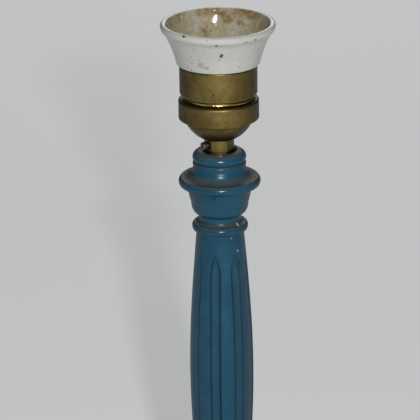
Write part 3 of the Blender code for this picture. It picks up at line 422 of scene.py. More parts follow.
def carve(piece: bpy.types.Object, cutters: Sequence[bpy.types.Object]) -> None:
    """Cut a piece with closed cutters, apply the result and delete the cutters.

    Args:
        piece: The piece that loses material.
        cutters: Closed objects that overlap it.
    """
    for cutter in cutters:
        step = piece.modifiers.new("Cut", "BOOLEAN")
        step.operation = "DIFFERENCE"
        step.object = cutter
    bpy.context.view_layer.update()
    evaluated = piece.evaluated_get(bpy.context.evaluated_depsgraph_get())
    mesh = bpy.data.meshes.new_from_object(evaluated)
    piece.modifiers.clear()
    piece.data = mesh
    for cutter in cutters:
        bpy.data.objects.remove(cutter)
    smooth(mesh)


def drill(radius: float, span: Pair, middle: Vector, axis: Vector = UP) -> bpy.types.Object:
    """A closed round cutter along an axis.

    Args:
        radius: Its radius.
        span: Where it starts and ends along the axis.
        middle: Point that the axis passes.
        axis: Direction of the axis.

    Returns:
        The cutter.
    """
    outline = joined([(0.0, span[1]), (radius, span[1]), (radius, span[0]), (0.0, span[0])])
    grid = aimed(turned(outline, around(DRILL_COLUMNS)), middle, axis)
    return Skin("drill", grid, closed_rows=False, wear_reach=1).make()


class Tree:
    """Adds nodes to one node tree and joins them."""

    def __init__(self, tree: bpy.types.NodeTree) -> None:
        """Start on a tree whose nodes are cleared."""
        self.tree = tree
        tree.nodes.clear()

    def feed(self, target: Socket, value: Any) -> None:
        """Join a socket to an input, or set the input to a constant.

        Args:
            target: The input.
            value: What it gets; None leaves it as it is.
        """
        if isinstance(value, bpy.types.NodeSocket):
            self.tree.links.new(value, target)
        elif value is not None:
            target.default_value = value

    def add(self, kind: str, *values: Any, **settings: Any) -> bpy.types.Node:
        """Add a node of one kind, set its properties and feed its first inputs.

        Args:
            kind: The node's type.
            values: What its first inputs get.
            settings: Its properties by name.

        Returns:
            The node.
        """
        node = self.tree.nodes.new(kind)
        for name, value in settings.items():
            setattr(node, name, value)
        for target, value in zip(node.inputs, values):
            self.feed(target, value)
        return node

    def math(self, operation: str, *values: Any, clamp: bool = False) -> Socket:
        """Add a Math node, held between 0 and 1 if clamp is set, and return its result."""
        return self.add("ShaderNodeMath", *values, operation=operation, use_clamp=clamp).outputs[0]

    def times(self, first: Any, second: Any) -> Socket:
        """Product of two values."""
        return self.math("MULTIPLY", first, second)

    def plus(self, first: Any, second: Any) -> Socket:
        """Sum of two values."""
        return self.math("ADD", first, second)

    def minus(self, first: Any, second: Any) -> Socket:
        """Difference of two values."""
        return self.math("SUBTRACT", first, second)

    def vector(self, operation: str, *values: Any) -> bpy.types.bpy_prop_collection:
        """Add a Vector Math node and return its outputs."""
        return self.add("ShaderNodeVectorMath", *values, operation=operation).outputs

    def mix(self, factor: Any, first: Any, second: Any) -> Socket:
        """Mix two colours by a factor and return the result.

        Args:
            factor: Share of the second colour.
            first: A colour.
            second: Another colour.

        Returns:
            The mixed colour.
        """
        node = self.add("ShaderNodeMix", factor, data_type="RGBA")
        self.feed(node.inputs[6], first)
        self.feed(node.inputs[7], second)
        return node.outputs[2]

    def noise(self, place: Socket, scale: Any, detail: float = 3.0, rough: float = 0.55) -> Socket:
        """Add a Noise texture at a place and return its value.

        Args:
            place: Position socket.
            scale: Waves in a metre, as a value or socket.
            detail: Number of finer layers.
            rough: Share of the finer layers.

        Returns:
            The value socket, about 0.5 on average.
        """
        node = self.add("ShaderNodeTexNoise")
        inputs = {"Vector": place, "Scale": scale, "Detail": detail, "Roughness": rough}
        for name, value in inputs.items():
            self.feed(node.inputs[name], value)
        return node.outputs["Fac"]

    def between(self, value: Any, low: Any, high: Any) -> Socket:
        """Fade from 0 at low to 1 at high, held at both ends."""
        node = self.add("ShaderNodeMapRange", value, low, high, interpolation_type="SMOOTHSTEP")
        return node.outputs["Result"]

    def inverse(self, value: Any, low: Any, high: Any) -> Socket:
        """Fade from 1 at low to 0 at high, held at both ends."""
        return self.minus(1.0, self.between(value, low, high))

    def stretch(self, place: Socket, shares: Place) -> Socket:
        """Scale a position by a share along each axis.

        Args:
            place: The position.
            shares: Share along each axis.

        Returns:
            The scaled position.
        """
        node = self.add("ShaderNodeMapping")
        self.feed(node.inputs["Vector"], place)
        node.inputs["Scale"].default_value = shares
        return node.outputs["Vector"]

    def attribute(self, name: str) -> Socket:
        """Read a point attribute's value."""
        return self.add("ShaderNodeAttribute", attribute_name=name).outputs["Fac"]

    def group(self, tree: bpy.types.NodeTree, *values: Any) -> Socket:
        """Place a node group, feed its inputs in order and return its output."""
        return self.add("ShaderNodeGroup", *values, node_tree=tree).outputs[0]


class Effect(Tree):
    """A node group that several finishes share, with values and vectors as its inputs."""

    VECTORS: ClassVar[tuple[str, ...]] = ("Position", "Place")

    def __init__(self, name: str, *inputs: str) -> None:
        """Start an empty group with its inputs, which `given` holds in order.

        Args:
            name: Name of the group.
            inputs: Names of its inputs.
        """
        super().__init__(bpy.data.node_groups.new(name, "ShaderNodeTree"))
        for label in inputs:
            kind = "NodeSocketVector" if label in self.VECTORS else "NodeSocketFloat"
            self.tree.interface.new_socket(label, in_out="INPUT", socket_type=kind)
        entry = self.add("NodeGroupInput")
        self.given = [entry.outputs[label] for label in inputs]

    def close(self, label: str, result: Socket) -> bpy.types.NodeTree:
        """Give the group its output and return it.

        Args:
            label: Name of the output.
            result: What it gives.

        Returns:
            The group.
        """
        self.tree.interface.new_socket(label, in_out="OUTPUT", socket_type="NodeSocketFloat")
        self.add("NodeGroupOutput", result)
        return self.tree


class Effects:
    """Shader node groups that several finishes share, each built once."""

    def __init__(self) -> None:
        """Build every group."""
        self.tone = self.uneven_tone()
        self.wear = self.worn_edges()
        self.dust = self.settled_dust()
        self.specks = self.scattered_specks()
        self.mark = self.single_mark()
        self.turning = self.turning_lines()
        self.scratches = self.fine_scratches()

    def uneven_tone(self) -> bpy.types.NodeTree:
        """Large and small soft patches: the sum of two noises, stretched to fill 0 to 1.

        Returns:
            The group.
        """
        tree = Effect("uneven_tone", "Position", "Scale")
        position, scale = tree.given
        large = tree.noise(position, scale, 2.0)
        small = tree.noise(position, tree.times(scale, 4.3), 4.0)
        total = tree.plus(tree.times(large, 0.65), tree.times(small, 0.35))
        return tree.close("Value", tree.between(total, 0.33, 0.67))

    def worn_edges(self) -> bpy.types.NodeTree:
        """Rubbed edges: the edge mask plus ragged noise, cut off at a level that Amount moves.

        Returns:
            The group.
        """
        tree = Effect("worn_edges", "Position", "Edge", "Amount", "Scale")
        position, edge, amount, scale = tree.given
        ragged = tree.noise(position, scale, 5.0, 0.65)
        pushed = tree.times(tree.minus(ragged, 0.5), 1.6)
        level = tree.plus(tree.times(edge, amount), pushed)
        return tree.close("Mask", tree.between(level, 0.55, 0.80))

    def settled_dust(self) -> bpy.types.NodeTree:
        """Dust on faces that look up and in creases, broken up by noise.

        Returns:
            The group.
        """
        tree = Effect("settled_dust", "Position", "Up", "Crease", "Amount")
        position, up, crease, amount = tree.given
        facing = tree.between(up, 0.25, 0.95)
        broad = tree.between(tree.noise(position, 95.0, 3.0, 0.5), 0.34, 0.64)
        fine = tree.between(tree.noise(position, 700.0, 4.0, 0.7), 0.34, 0.66)
        patch = tree.plus(tree.times(broad, 0.2), tree.times(fine, 0.42))
        lying = tree.times(facing, tree.plus(patch, 0.3))
        total = tree.plus(lying, tree.times(crease, 0.25))
        return tree.close("Mask", tree.math("MULTIPLY", total, amount, clamp=True))

    def scattered_specks(self) -> bpy.types.NodeTree:
        """Small round specks: cells whose middle is near, kept where a random value is low.

        Returns:
            The group.
        """
        tree = Effect("scattered_specks", "Position", "Scale", "Size", "Share")
        position, scale, size, share = tree.given
        wobble = tree.add("ShaderNodeTexNoise")
        tree.feed(wobble.inputs["Vector"], position)
        tree.feed(wobble.inputs["Scale"], tree.times(scale, 2.5))
        reach = tree.math("DIVIDE", 0.5, scale)
        shift = tree.vector("SCALE", wobble.outputs["Color"], None, None, reach)[0]
        cells = tree.add("ShaderNodeTexVoronoi")
        tree.feed(cells.inputs["Vector"], tree.vector("ADD", position, shift)[0])
        tree.feed(cells.inputs["Scale"], scale)
        pick = tree.add("ShaderNodeSeparateColor", cells.outputs["Color"]).outputs
        kept = tree.math("LESS_THAN", pick[0], share)
        radius = tree.times(size, tree.plus(pick[1], 0.4))
        inside = tree.inverse(cells.outputs["Distance"], 0.0, radius)
        return tree.close("Mask", tree.times(tree.between(inside, 0.2, 0.6), kept))

    def single_mark(self) -> bpy.types.NodeTree:
        """One ragged mark round a place: distance over size, with noise on its rim.

        Returns:
            The group.
        """
        tree = Effect("single_mark", "Position", "Place", "Size", "Ragged")
        position, place, size, ragged = tree.given
        away = tree.vector("DISTANCE", position, place)["Value"]
        share = tree.math("DIVIDE", away, size)
        finer = tree.math("DIVIDE", 1.1, size)
        rough = tree.minus(tree.noise(position, finer, 7.0, 0.75), 0.5)
        return tree.close(
            "Mask", tree.inverse(tree.plus(share, tree.times(rough, ragged)), 0.25, 0.95)
        )

    def turning_lines(self) -> bpy.types.NodeTree:
        """Fine lines that run round the Z axis: noise on a position squeezed to its height.

        Returns:
            The group.
        """
        tree = Effect("turning_lines", "Position", "Scale")
        position, scale = tree.given
        flat = tree.stretch(position, (0.035, 0.035, 1.0))
        return tree.close("Height", tree.noise(flat, scale, 3.0, 0.6))

    def fine_scratches(self) -> bpy.types.NodeTree:
        """Short thin scratches: stretched noise, kept where it crosses its middle.

        Returns:
            The group.
        """
        tree = Effect("fine_scratches", "Position", "Scale")
        position, scale = tree.given
        wave = tree.noise(tree.stretch(position, (1.0, 1.0, 0.16)), scale, 2.0, 0.4)
        thin = tree.math("ABSOLUTE", tree.minus(wave, 0.5))
        where = tree.between(tree.noise(position, 160.0, 2.0), 0.5, 0.6)
        return tree.close("Mask", tree.times(tree.inverse(thin, 0.004, 0.016), where))


@dataclass(frozen=True)
class Mark:
    """A chip, a stain or a speck at a place on the surface."""

    place: Place
    size: float
    ragged: float = 1.0


def marks_on(
    outline: Outline, lift: float, rows: Rows, inside: bool = False
) -> tuple[Mark, ...]:
    """Place marks on a turned piece: a direction times the outline's radius at a height.

    Args:
        outline: The piece's outline.
        lift: How far the outline's origin lies above the floor.
        rows: For each mark its degrees right of the front, its height on the outline, its size
            and, where it isn't 1, how ragged it is.
        inside: Whether the marks lie on the inner side.

    Returns:
        The marks.
    """
    following = np.roll(outline, -1, axis=0)
    made = []
    for turn, height, *kind in rows:
        crosses = (outline[:, 1] - height) * (following[:, 1] - height) <= 0
        radii = outline[crosses, 0]
        place = front(turn) * float(radii.min() if inside else radii.max())
        made.append(Mark((place.x, place.y, height + lift), *kind))
    return tuple(made)


class Coat(Tree):
    """One material: its shader, the positions it reads and the colour laid so far."""

    def __init__(self, name: str, effects: Effects) -> None:
        """Make the material with a Principled shader on its output.

        Args:
            name: Name of the material.
            effects: The shared groups.
        """
        self.material = bpy.data.materials.new(name)
        self.material.use_nodes = True
        super().__init__(self.material.node_tree)
        self.effects = effects
        self.shader = self.add("ShaderNodeBsdfPrincipled")
        self.add("ShaderNodeOutputMaterial", self.shader.outputs[0])
        source = self.add("ShaderNodeTexCoord").outputs
        self.position = source["Object"]
        self.up = self.add("ShaderNodeSeparateXYZ", source["Normal"]).outputs["Z"]
        self.glancing = self.add("ShaderNodeLayerWeight", 0.5).outputs["Facing"]
        outwards = self.vector("NORMALIZE", self.stretch(self.position, (1.0, 1.0, 0.0)))[0]
        along = self.vector("DOT_PRODUCT", outwards, source["Normal"])["Value"]
        self.inward = self.times(along, -1.0)
        self.edge = self.attribute("edge")
        self.crease = self.attribute("crease")
        self.base: Any = None

    def effect(self, group: bpy.types.NodeTree, *values: Any) -> Socket:
        """Place a shared effect at the surface's position and feed its other inputs."""
        return self.group(group, self.position, *values)

    def patches(
        self, scale: float, low: float, high: float, detail: float = 3.0, rough: float = 0.55
    ) -> Socket:
        """Mask of patches: noise at the surface's position, faded between two levels.

        Args:
            scale: Waves in a metre.
            low: Level at which the mask is 0.
            high: Level at which the mask is 1.
            detail: Number of finer layers.
            rough: Share of the finer layers.

        Returns:
            The mask.
        """
        return self.between(self.noise(self.position, scale, detail, rough), low, high)

    def start(self, tone: Socket, *shades: tuple[int, int, int]) -> None:
        """Lay the first colour, which changes from one shade to another with the tone."""
        self.base = self.mix(tone, *(colour(*shade) for shade in shades))

    def tint(self, shade: Any, mask: Socket, strength: Any = None) -> None:
        """Lay a shade over the colour where a mask is.

        Args:
            shade: Its sRGB numbers, or a colour socket.
            mask: Where it lies.
            strength: How strongly it covers, fully if left out.
        """
        cover = mask if strength is None else self.times(mask, strength)
        over = shade if isinstance(shade, bpy.types.NodeSocket) else colour(*shade)
        self.base = self.mix(cover, self.base, over)

    def marks(self, marks: Sequence[Mark], shade: Any, strength: Any = 1.0) -> None:
        """Lay marks of one shade over the colour, by a strength.

        Args:
            marks: The marks.
            shade: Their shade.
            strength: How strongly they cover.
        """
        for mark in marks:
            mask = self.effect(self.effects.mark, mark.place, mark.size, mark.ragged)
            self.tint(shade, mask, strength)

    def finish(self, roughness: Any, height: Socket, depth: float, **plain: float) -> None:
        """Join colour, roughness and bump to the shader, and set its plain values.

        Args:
            roughness: Roughness.
            height: Height of the bump.
            depth: Depth of the bump in metres.
            plain: Other inputs of the shader by name, with underscores for spaces.
        """
        inputs = self.shader.inputs
        self.feed(inputs["Base Color"], self.base)
        self.feed(inputs["Roughness"], roughness)
        for name, value in plain.items():
            inputs[name.replace("_", " ")].default_value = value
        bump = self.add("ShaderNodeBump")
        bump.inputs["Strength"].default_value = 1.0
        bump.inputs["Distance"].default_value = depth
        self.feed(bump.inputs["Height"], height)
        self.feed(inputs["Normal"], bump.outputs["Normal"])


@dataclass(frozen=True)
class Finish:
    """What a piece is finished with; each kind lays its own coats."""

    slot: ClassVar[Slot]
    name: str

    def lay(self, coat: Coat) -> None:
        """Lay the finish on a material; each kind has its own way."""
        raise NotImplementedError


@dataclass(frozen=True)
class BluePaint(Finish):
    """Satin teal blue brush paint on wood, dusty on top, rubbed at its edges and chipped, with painted
    shade in its creases and at its turned-away sides.
    """

    slot = Slot.PAINT
    turned_lines: bool = True
    dust_amount: float = 0.85
    wear_amount: float = 0.62
    crease_shade_amount: float = 0.5
    chips: tuple[Mark, ...] = ()
    specks: tuple[Mark, ...] = ()

    def lay(self, coat: Coat) -> None:
        """Lay the paint with its wear.

        Args:
            coat: The material.
        """
        shared = coat.effects
        tone = coat.effect(shared.tone, 62.0)
        coat.start(tone, (20, 70, 94), (29, 83, 109))
        coat.tint((30, 78, 86), coat.patches(150.0, 0.50, 0.72), 0.4)
        # painted shade: darker paint in creases and hollows
        coat.tint((10, 28, 38), coat.crease, self.crease_shade_amount)
        rubbed = coat.effect(shared.wear, coat.edge, self.wear_amount, 420.0)
        coat.tint((112, 134, 140), rubbed, 0.5)
        chipped = coat.effect(shared.specks, 260.0, 0.16, 0.05)
        bare = coat.times(chipped, coat.between(coat.edge, 0.05, 0.3))
        coat.tint((176, 168, 146), bare)
        coat.tint((18, 28, 32), coat.effect(shared.specks, 560.0, 0.15, 0.05), 0.65)
        coat.tint((118, 130, 128), coat.effect(shared.specks, 700.0, 0.11, 0.035), 0.5)
        dust = coat.effect(shared.dust, coat.up, coat.crease, self.dust_amount)
        coat.tint((92, 84, 62), dust)
        coat.marks(self.chips, (196, 192, 174))
        coat.marks(self.specks, (14, 22, 26), 0.7)
        # painted shade: the paint darkens where the surface turns away from the view
        slanting = coat.between(coat.glancing, 0.25, 0.95)
        coat.tint((10, 24, 32), slanting, 0.5)
        roughness = coat.plus(coat.times(tone, 0.06), 0.22)
        roughness = coat.plus(roughness, coat.times(dust, 0.30))
        roughness = coat.plus(roughness, coat.times(slanting, 0.2))
        height = coat.times(coat.noise(coat.position, 900.0, 2.0), 0.5)
        if self.turned_lines:
            height = coat.plus(height, coat.times(coat.effect(shared.turning, 2600.0), 0.5))
        height = coat.minus(height, coat.times(bare, 0.8))
        coat.finish(roughness, height, 0.00006, Specular_IOR_Level=0.28)


@dataclass(frozen=True)
class Brass(Finish):
    """Brass, from bright and rubbed to olive brown with age, with painted shade in its creases and at
    its sides.
    """

    slot = Slot.BRASS
    roughness: float = 0.42
    age: float = 0.8
    specks: tuple[Mark, ...] = ()

    def lay(self, coat: Coat) -> None:
        """Lay the brass with its age, rubbed edges and polish.

        Args:
            coat: The material.
        """
        shared = coat.effects
        aged = coat.times(coat.effect(shared.tone, 70.0), self.age)
        coat.start(aged, (136, 119, 70), (98, 82, 47))
        coat.tint((72, 54, 32), coat.patches(330.0, 0.52, 0.70, 5.0, 0.7), 0.4 * self.age)
        coat.tint((56, 47, 30), coat.patches(1500.0, 0.5, 0.72, 4.0, 0.7), 0.3 * self.age)
        # painted shade in creases, under the lip, in the groove and under the collar
        coat.tint((34, 28, 18), coat.crease, 0.8)
        worn = coat.effect(shared.wear, coat.edge, 0.8, 500.0)
        rubbed = coat.times(worn, coat.minus(1.0, coat.crease))
        coat.tint((176, 157, 100), rubbed, 0.45)
        coat.tint((44, 32, 20), coat.effect(shared.specks, 300.0, 0.13, 0.06), 0.8)
        coat.marks(self.specks, (36, 26, 16))
        polish = coat.attribute("polish")
        coat.tint((236, 208, 122), polish)
        # painted shade: darker where the surface turns away from the view
        coat.tint((38, 30, 18), coat.between(coat.glancing, 0.12, 0.85), 0.8)
        roughness = coat.plus(coat.times(aged, 0.14), self.roughness)
        roughness = coat.minus(roughness, coat.times(rubbed, 0.12))
        roughness = coat.times(roughness, coat.minus(1.0, coat.times(polish, 0.55)))
        height = coat.times(coat.effect(shared.turning, 6000.0), 0.55)
        height = coat.plus(height, coat.times(coat.noise(coat.position, 2600.0, 2.0), 0.35))
        height = coat.minus(height, coat.times(coat.effect(shared.scratches, 900.0), 0.5))
        coat.finish(roughness, height, 0.00002, Metallic=1.0)


@dataclass(frozen=True)
class Porcelain(Finish):
    """Glossy off-white glaze, yellowed inside, with rusty stains and specks and painted shade in its
    creases.
    """

    slot = Slot.PORCELAIN
    stains: tuple[Mark, ...] = ()
    faint: tuple[Mark, ...] = ()
    specks: tuple[Mark, ...] = ()
    glazed: bool = True

    def lay(self, coat: Coat) -> None:
        """Lay the porcelain with its stains.

        Args:
            coat: The material.
        """
        shared = coat.effects
        tone = coat.effect(shared.tone, 48.0)
        coat.start(tone, (198, 200, 194), (208, 208, 201))
        # painted shade in creases, such as under the rolled rim
        coat.tint((150, 140, 116), coat.crease, 0.25)
        if self.glazed:
            coat.tint((142, 127, 84), self.yellowing(coat))
            coat.tint((150, 146, 132), self.streaks(coat))
        rust = coat.patches(420.0, 0.38, 0.62, 5.0, 0.7)
        rusty = coat.mix(rust, colour(146, 118, 64), colour(116, 80, 34))
        cover = coat.plus(coat.times(coat.patches(1300.0, 0.36, 0.62, 5.0, 0.75), 0.5), 0.35)
        inside = coat.times(cover, coat.between(coat.inward, 0.0, 0.3))
        coat.marks(self.stains, rusty, inside)
        coat.marks(self.faint, (144, 124, 74), coat.times(cover, 0.85))
        coat.tint((126, 104, 76), coat.effect(shared.specks, 330.0, 0.14, 0.05), 0.6)
        coat.marks(self.specks, (88, 56, 28))
        roughness = coat.plus(coat.times(tone, 0.03), 0.05 if self.glazed else 0.55)
        lines = coat.times(coat.effect(shared.turning, 1500.0), 0.25)
        height = coat.plus(coat.noise(coat.position, 130.0, 2.0), lines)
        coat.finish(roughness, height, 0.0002, Specular_IOR_Level=0.55)

    def yellowing(self, coat: Coat) -> Socket:
        """Mask of the yellowed glaze: on faces that look at the axis, in soft and small patches.

        Args:
            coat: The material.

        Returns:
            The mask.
        """
        facing = coat.between(coat.inward, 0.25, 0.75)
        broad = coat.times(coat.patches(75.0, 0.30, 0.62, 3.0, 0.6), 0.22)
        small = coat.times(coat.patches(420.0, 0.36, 0.66, 6.0, 0.75), 0.28)
        patchy = coat.plus(coat.plus(broad, small), 0.42)
        return coat.math("MULTIPLY", facing, patchy, clamp=True)

    def streaks(self, coat: Coat) -> Socket:
        """Mask of faint throwing lines: squeezed noise near its top, only in some places.

        Args:
            coat: The material.

        Returns:
            The mask.
        """
        thin = coat.between(coat.effect(coat.effects.turning, 1900.0), 0.58, 0.68)
        return coat.times(coat.times(thin, coat.patches(70.0, 0.46, 0.62)), 0.4)


@dataclass(frozen=True)
class ZincSteel(Finish):
    """Dull zinc plated steel with fine grain and painted shade in its corners."""

    slot = Slot.STEEL
    rust: float = 0.15

    def lay(self, coat: Coat) -> None:
        """Lay the steel with its rust.

        Args:
            coat: The material.
        """
        tone = coat.effect(coat.effects.tone, 180.0)
        coat.start(tone, (150, 148, 142), (112, 108, 100))
        # painted shade in corners and creases
        coat.tint((48, 42, 36), coat.crease, 0.7)
        coat.tint((84, 58, 38), coat.patches(900.0, 0.36, 0.60, 4.0, 0.65), self.rust)
        roughness = coat.plus(coat.times(tone, 0.2), 0.32)
        coat.finish(roughness, coat.noise(coat.position, 3000.0, 3.0), 0.00002, Metallic=1.0)


@dataclass(frozen=True)
class WoolFelt(Finish):
    """Dark green felt: short fibres as fine noise, lighter where they stand up."""

    slot = Slot.FELT

    def lay(self, coat: Coat) -> None:
        """Lay the felt.

        Args:
            coat: The material.
        """
        fibre = coat.noise(coat.position, 2400.0, 6.0, 0.75)
        coat.start(coat.effect(coat.effects.tone, 90.0), (36, 66, 48), (48, 80, 58))
        coat.tint((92, 116, 92), coat.between(fibre, 0.5, 0.7))
        coat.finish(0.95, fibre, 0.0004, Sheen_Weight=0.3)


INSIDE_BRASS = Brass("brass_inside", roughness=0.32, age=0.35)
PLAIN_STEEL = ZincSteel("zinc_steel")


@dataclass
class Bench:
    """Where finished pieces go: it dresses them and hangs them on their bodies."""

    effects: Effects = field(default_factory=Effects)
    made: dict[str, bpy.types.Material] = field(default_factory=dict)

    def dress(self, piece: bpy.types.Object, finish: Finish) -> None:
        """Give a piece its finish, which is built once for all its pieces.

        Args:
            piece: The piece.
            finish: Its finish.
        """
        if finish.name not in self.made:
            coat = Coat(finish.name, self.effects)
            finish.lay(coat)
            self.made[finish.name] = coat.material
        piece.data.materials.clear()
        piece.data.materials.append(self.made[finish.name])

    def settle(self, piece: bpy.types.Object, finish: Finish, body: Body, node: str) -> None:
        """Dress a piece, hang it on its body and let it stand for its CAD node.

        Args:
            piece: The finished piece.
            finish: The finish it takes.
            body: The body it rides on.
            node: The CAD node that it replaces.
        """
        self.dress(piece, finish)
        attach(piece, body.value)
        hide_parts(node)
        LOG.info("%s: %d faces, on %s", piece.name, len(piece.data.polygons), body.value)

    def dress_hidden_nodes(self) -> None:
        """Give the CAD nodes that the wood hides a finish each."""
        finishes: dict[str, Finish] = {
            "threaded_tube": PLAIN_STEEL,
            "bottom_washer": PLAIN_STEEL,
            "bottom_nut": PLAIN_STEEL,
            "top_washer": INSIDE_BRASS,
            "top_nut": INSIDE_BRASS,
        }
        for node, finish in finishes.items():
            self.dress(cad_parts[node], finish)
            LOG.info("%s: CAD node dressed", node)


@dataclass
class Assembly:
    """Pieces that belong together, and the bench that they go to when they are finished."""

    bench: Bench


@dataclass
class Foot(Assembly):
    """Round foot with its felt and the bush at the back."""

    radius: float = 0.065
    height: float = 0.032
    plinth_height: float = 0.0135
    edge_round: float = 0.0022
    ledge: float = 0.0035
    step: float = 0.0008
    sweep_radius: float = 0.0245
    sweep_power: float = 2.6
    bead_reach: float = 0.0022
    bead_height: float = 0.0036
    top_radius: float = 0.0205
    top_plate: float = 0.0012
    pocket_radius: float = 0.0145
    pocket_depth: float = 0.0125
    bore_radius: float = 0.0053
    socket_radius: float = 0.0083
    socket_depth: float = 0.0058
    bush_hole_radius: float = 0.0040
    bush_clearance: float = 0.0003
    bush_flange_radius: float = 0.0055
    bush_flange: float = 0.0012
    bush_length: float = 0.014
    bush_bore: float = 0.0027
    felt_round: float = 0.0004
    felt_uneven: float = 0.0018
    stretch: float = 0.0008
    bush_stretch: float = 0.0004
    felt_stretch: float = 0.002
    columns: int = 288
    bush_columns: int = 96
    felt_columns: int = 240

    def outline(self) -> Outline:
        """Outer side from the top plate down, then the pocket and the bore back up.

        Returns:
            The outline.
        """
        bead_top = self.height - self.top_plate
        bead_middle = bead_top - self.bead_height / 2
        bead_centre = self.sweep_radius - self.bead_reach / 2
        edge = self.radius - self.edge_round
        ledge_radius = edge - self.ledge
        corner = (self.edge_round, self.edge_round)
        sweep_start = (bead_centre, bead_top - self.bead_height - self.step)
        sweep_end = (ledge_radius, self.plinth_height + self.step)
        bead = (self.bead_reach, self.bead_height / 2)
        pieces = [
            (self.top_radius - self.step / 2, self.height),
            (self.top_radius, self.height - self.step / 2),
            (self.top_radius, bead_top),
            arc((bead_centre, bead_middle), bead, (85, -85)),
            sweep(sweep_start, sweep_end, self.sweep_power, 60),
            (ledge_radius, self.plinth_height),
            arc((edge, self.plinth_height - self.edge_round), corner, (90, 0)),
            arc((edge, self.edge_round), corner, (0, -90)),
            (self.pocket_radius, 0.0),
            (self.pocket_radius, self.pocket_depth),
            (self.bore_radius, self.pocket_depth),
            (self.bore_radius, self.height - self.socket_depth),
            (self.socket_radius, self.height - self.socket_depth),
            (self.socket_radius, self.height),
        ]
        return chain(pieces, self.stretch)

    def build(self) -> None:
        """Make the foot, the felt and the bush."""
        outline = self.outline() + np.array([0.0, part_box("foot")[0].z])
        foot = Skin("foot_turned", turned(outline, around(self.columns))).make()
        low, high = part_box("cord_inlet_bush")
        middle = Vector((0.0, 0.0, (low.z + high.z) / 2))
        outside = 2 * self.radius
        seat_span = (self.radius - self.bush_flange - self.step / 2, outside)
        hole = drill(self.bush_hole_radius, (0.0, outside), middle, BACK)
        seat = drill(self.bush_flange_radius + self.step / 2, seat_span, middle, BACK)
        carve(foot, [hole, seat])
        self.bench.settle(foot, BluePaint("paint_foot", dust_amount=0.5), Body.COLUMN, "foot")
        self.build_bush(middle)
        self.build_felt()

    def build_bush(self, middle: Vector) -> None:
        """Brass bush with a rounded flange and a flared mouth.

        Args:
            middle: Point on the bush's axis at the foot's axis.
        """
        face = self.radius
        seat = face - self.bush_flange
        tube = self.bush_hole_radius - self.bush_clearance
        rim = self.bush_flange / 2
        mouth = (self.bush_flange_radius + self.bush_bore) / 2
        pieces = [
            arc((self.bush_flange_radius - rim, face - rim), (rim, rim), (90, -90)),
            (tube, seat),
            (tube, face - self.bush_length),
            (self.bush_bore, face - self.bush_length),
            (self.bush_bore, seat),
            arc((mouth, seat), (mouth - self.bush_bore, self.bush_flange), (180, 95)),
        ]
        grid = turned(chain(pieces, self.bush_stretch), around(self.bush_columns))
        bush = Skin("bush_turned", aimed(grid, middle, BACK)).make()
        self.bench.settle(bush, Brass("brass_bush"), Body.COLUMN, "cord_inlet_bush")

    def build_felt(self) -> None:
        """Felt disc with soft edges; two sine waves of the turn make its rim slightly uneven."""
        low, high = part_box("felt_pad")
        soft = self.felt_round
        pieces = [
            (0.0, high.z),
            arc((high.x - soft, high.z - soft), (soft, soft), (90, 0), 6),
            arc((high.x - soft, low.z + soft), (soft, soft), (0, -90), 6),
            (0.0, low.z),
        ]
        turn = around(self.felt_columns)
        grid = turned(chain(pieces, self.felt_stretch, closed=False), turn)
        uneven = 1 - self.felt_uneven * (1 + np.sin(7 * turn) * np.sin(3 * turn + 1.0))
        grid[..., :2] *= uneven[None, :, None]
        felt = Skin("felt_disc", grid, closed_rows=False).make()
        self.bench.settle(felt, WoolFelt("wool_felt"), Body.COLUMN, "felt_pad")


@dataclass
class LowerTurning(Assembly):
    """Torus, throat and band between the foot and the shaft."""

    height: float = 0.026
    torus_radius: float = 0.0190
    torus_round: float = 0.0034
    torus_height: float = 0.0066
    fillet_radius: float = 0.0155
    fillet_height: float = 0.0012
    throat_radius: float = 0.0118
    band_radius: float = 0.0152
    band_height: float = 0.0038
    band_round: float = 0.0008
    tenon_radius: float = 0.0080
    tenon_length: float = 0.0055
    bore_radius: float = 0.0053
    stretch: float = 0.0006
    columns: int = 224

    def outline(self) -> Outline:
        """Outer side from the upper tenon down, then the bore back up.

        Returns:
            The outline.
        """
        top = self.height + self.tenon_length
        band_bottom = self.height - self.band_height
        fillet_top = self.torus_height + self.fillet_height
        throat = (self.band_radius, (fillet_top + band_bottom) / 2)
        throat_reach = (self.band_radius - self.throat_radius, (band_bottom - fillet_top) / 2)
        band_edge = self.band_radius - self.band_round
        band = (self.band_round, self.band_height / 2)
        torus_middle = self.torus_height / 2
        torus_centre = (self.torus_radius - self.torus_round, torus_middle)
        pieces = [
            (self.tenon_radius, top),
            (self.tenon_radius, self.height),
            (band_edge - self.band_round, self.height),
            arc((band_edge, self.height - self.band_height / 2), band, (80, -80)),
            arc(throat, throat_reach, (110, 250), 40),
            (self.fillet_radius, fillet_top),
            (self.fillet_radius, self.torus_height),
            arc(torus_centre, (self.torus_round, torus_middle), (88, -90), 32),
            (self.tenon_radius, 0.0),
            (self.tenon_radius, -self.tenon_length),
            (self.bore_radius, -self.tenon_length),
            (self.bore_radius, top),
        ]
        return chain(pieces, self.stretch)

    def build(self) -> None:
        """Make the lower turning."""
        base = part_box("lower_turning")[0].z + self.tenon_length
        grid = turned(self.outline() + np.array([0.0, base]), around(self.columns))
        piece = Skin("lower_turning_turned", grid).make()
        self.bench.settle(piece, BluePaint("paint_turned"), Body.COLUMN, "lower_turning")


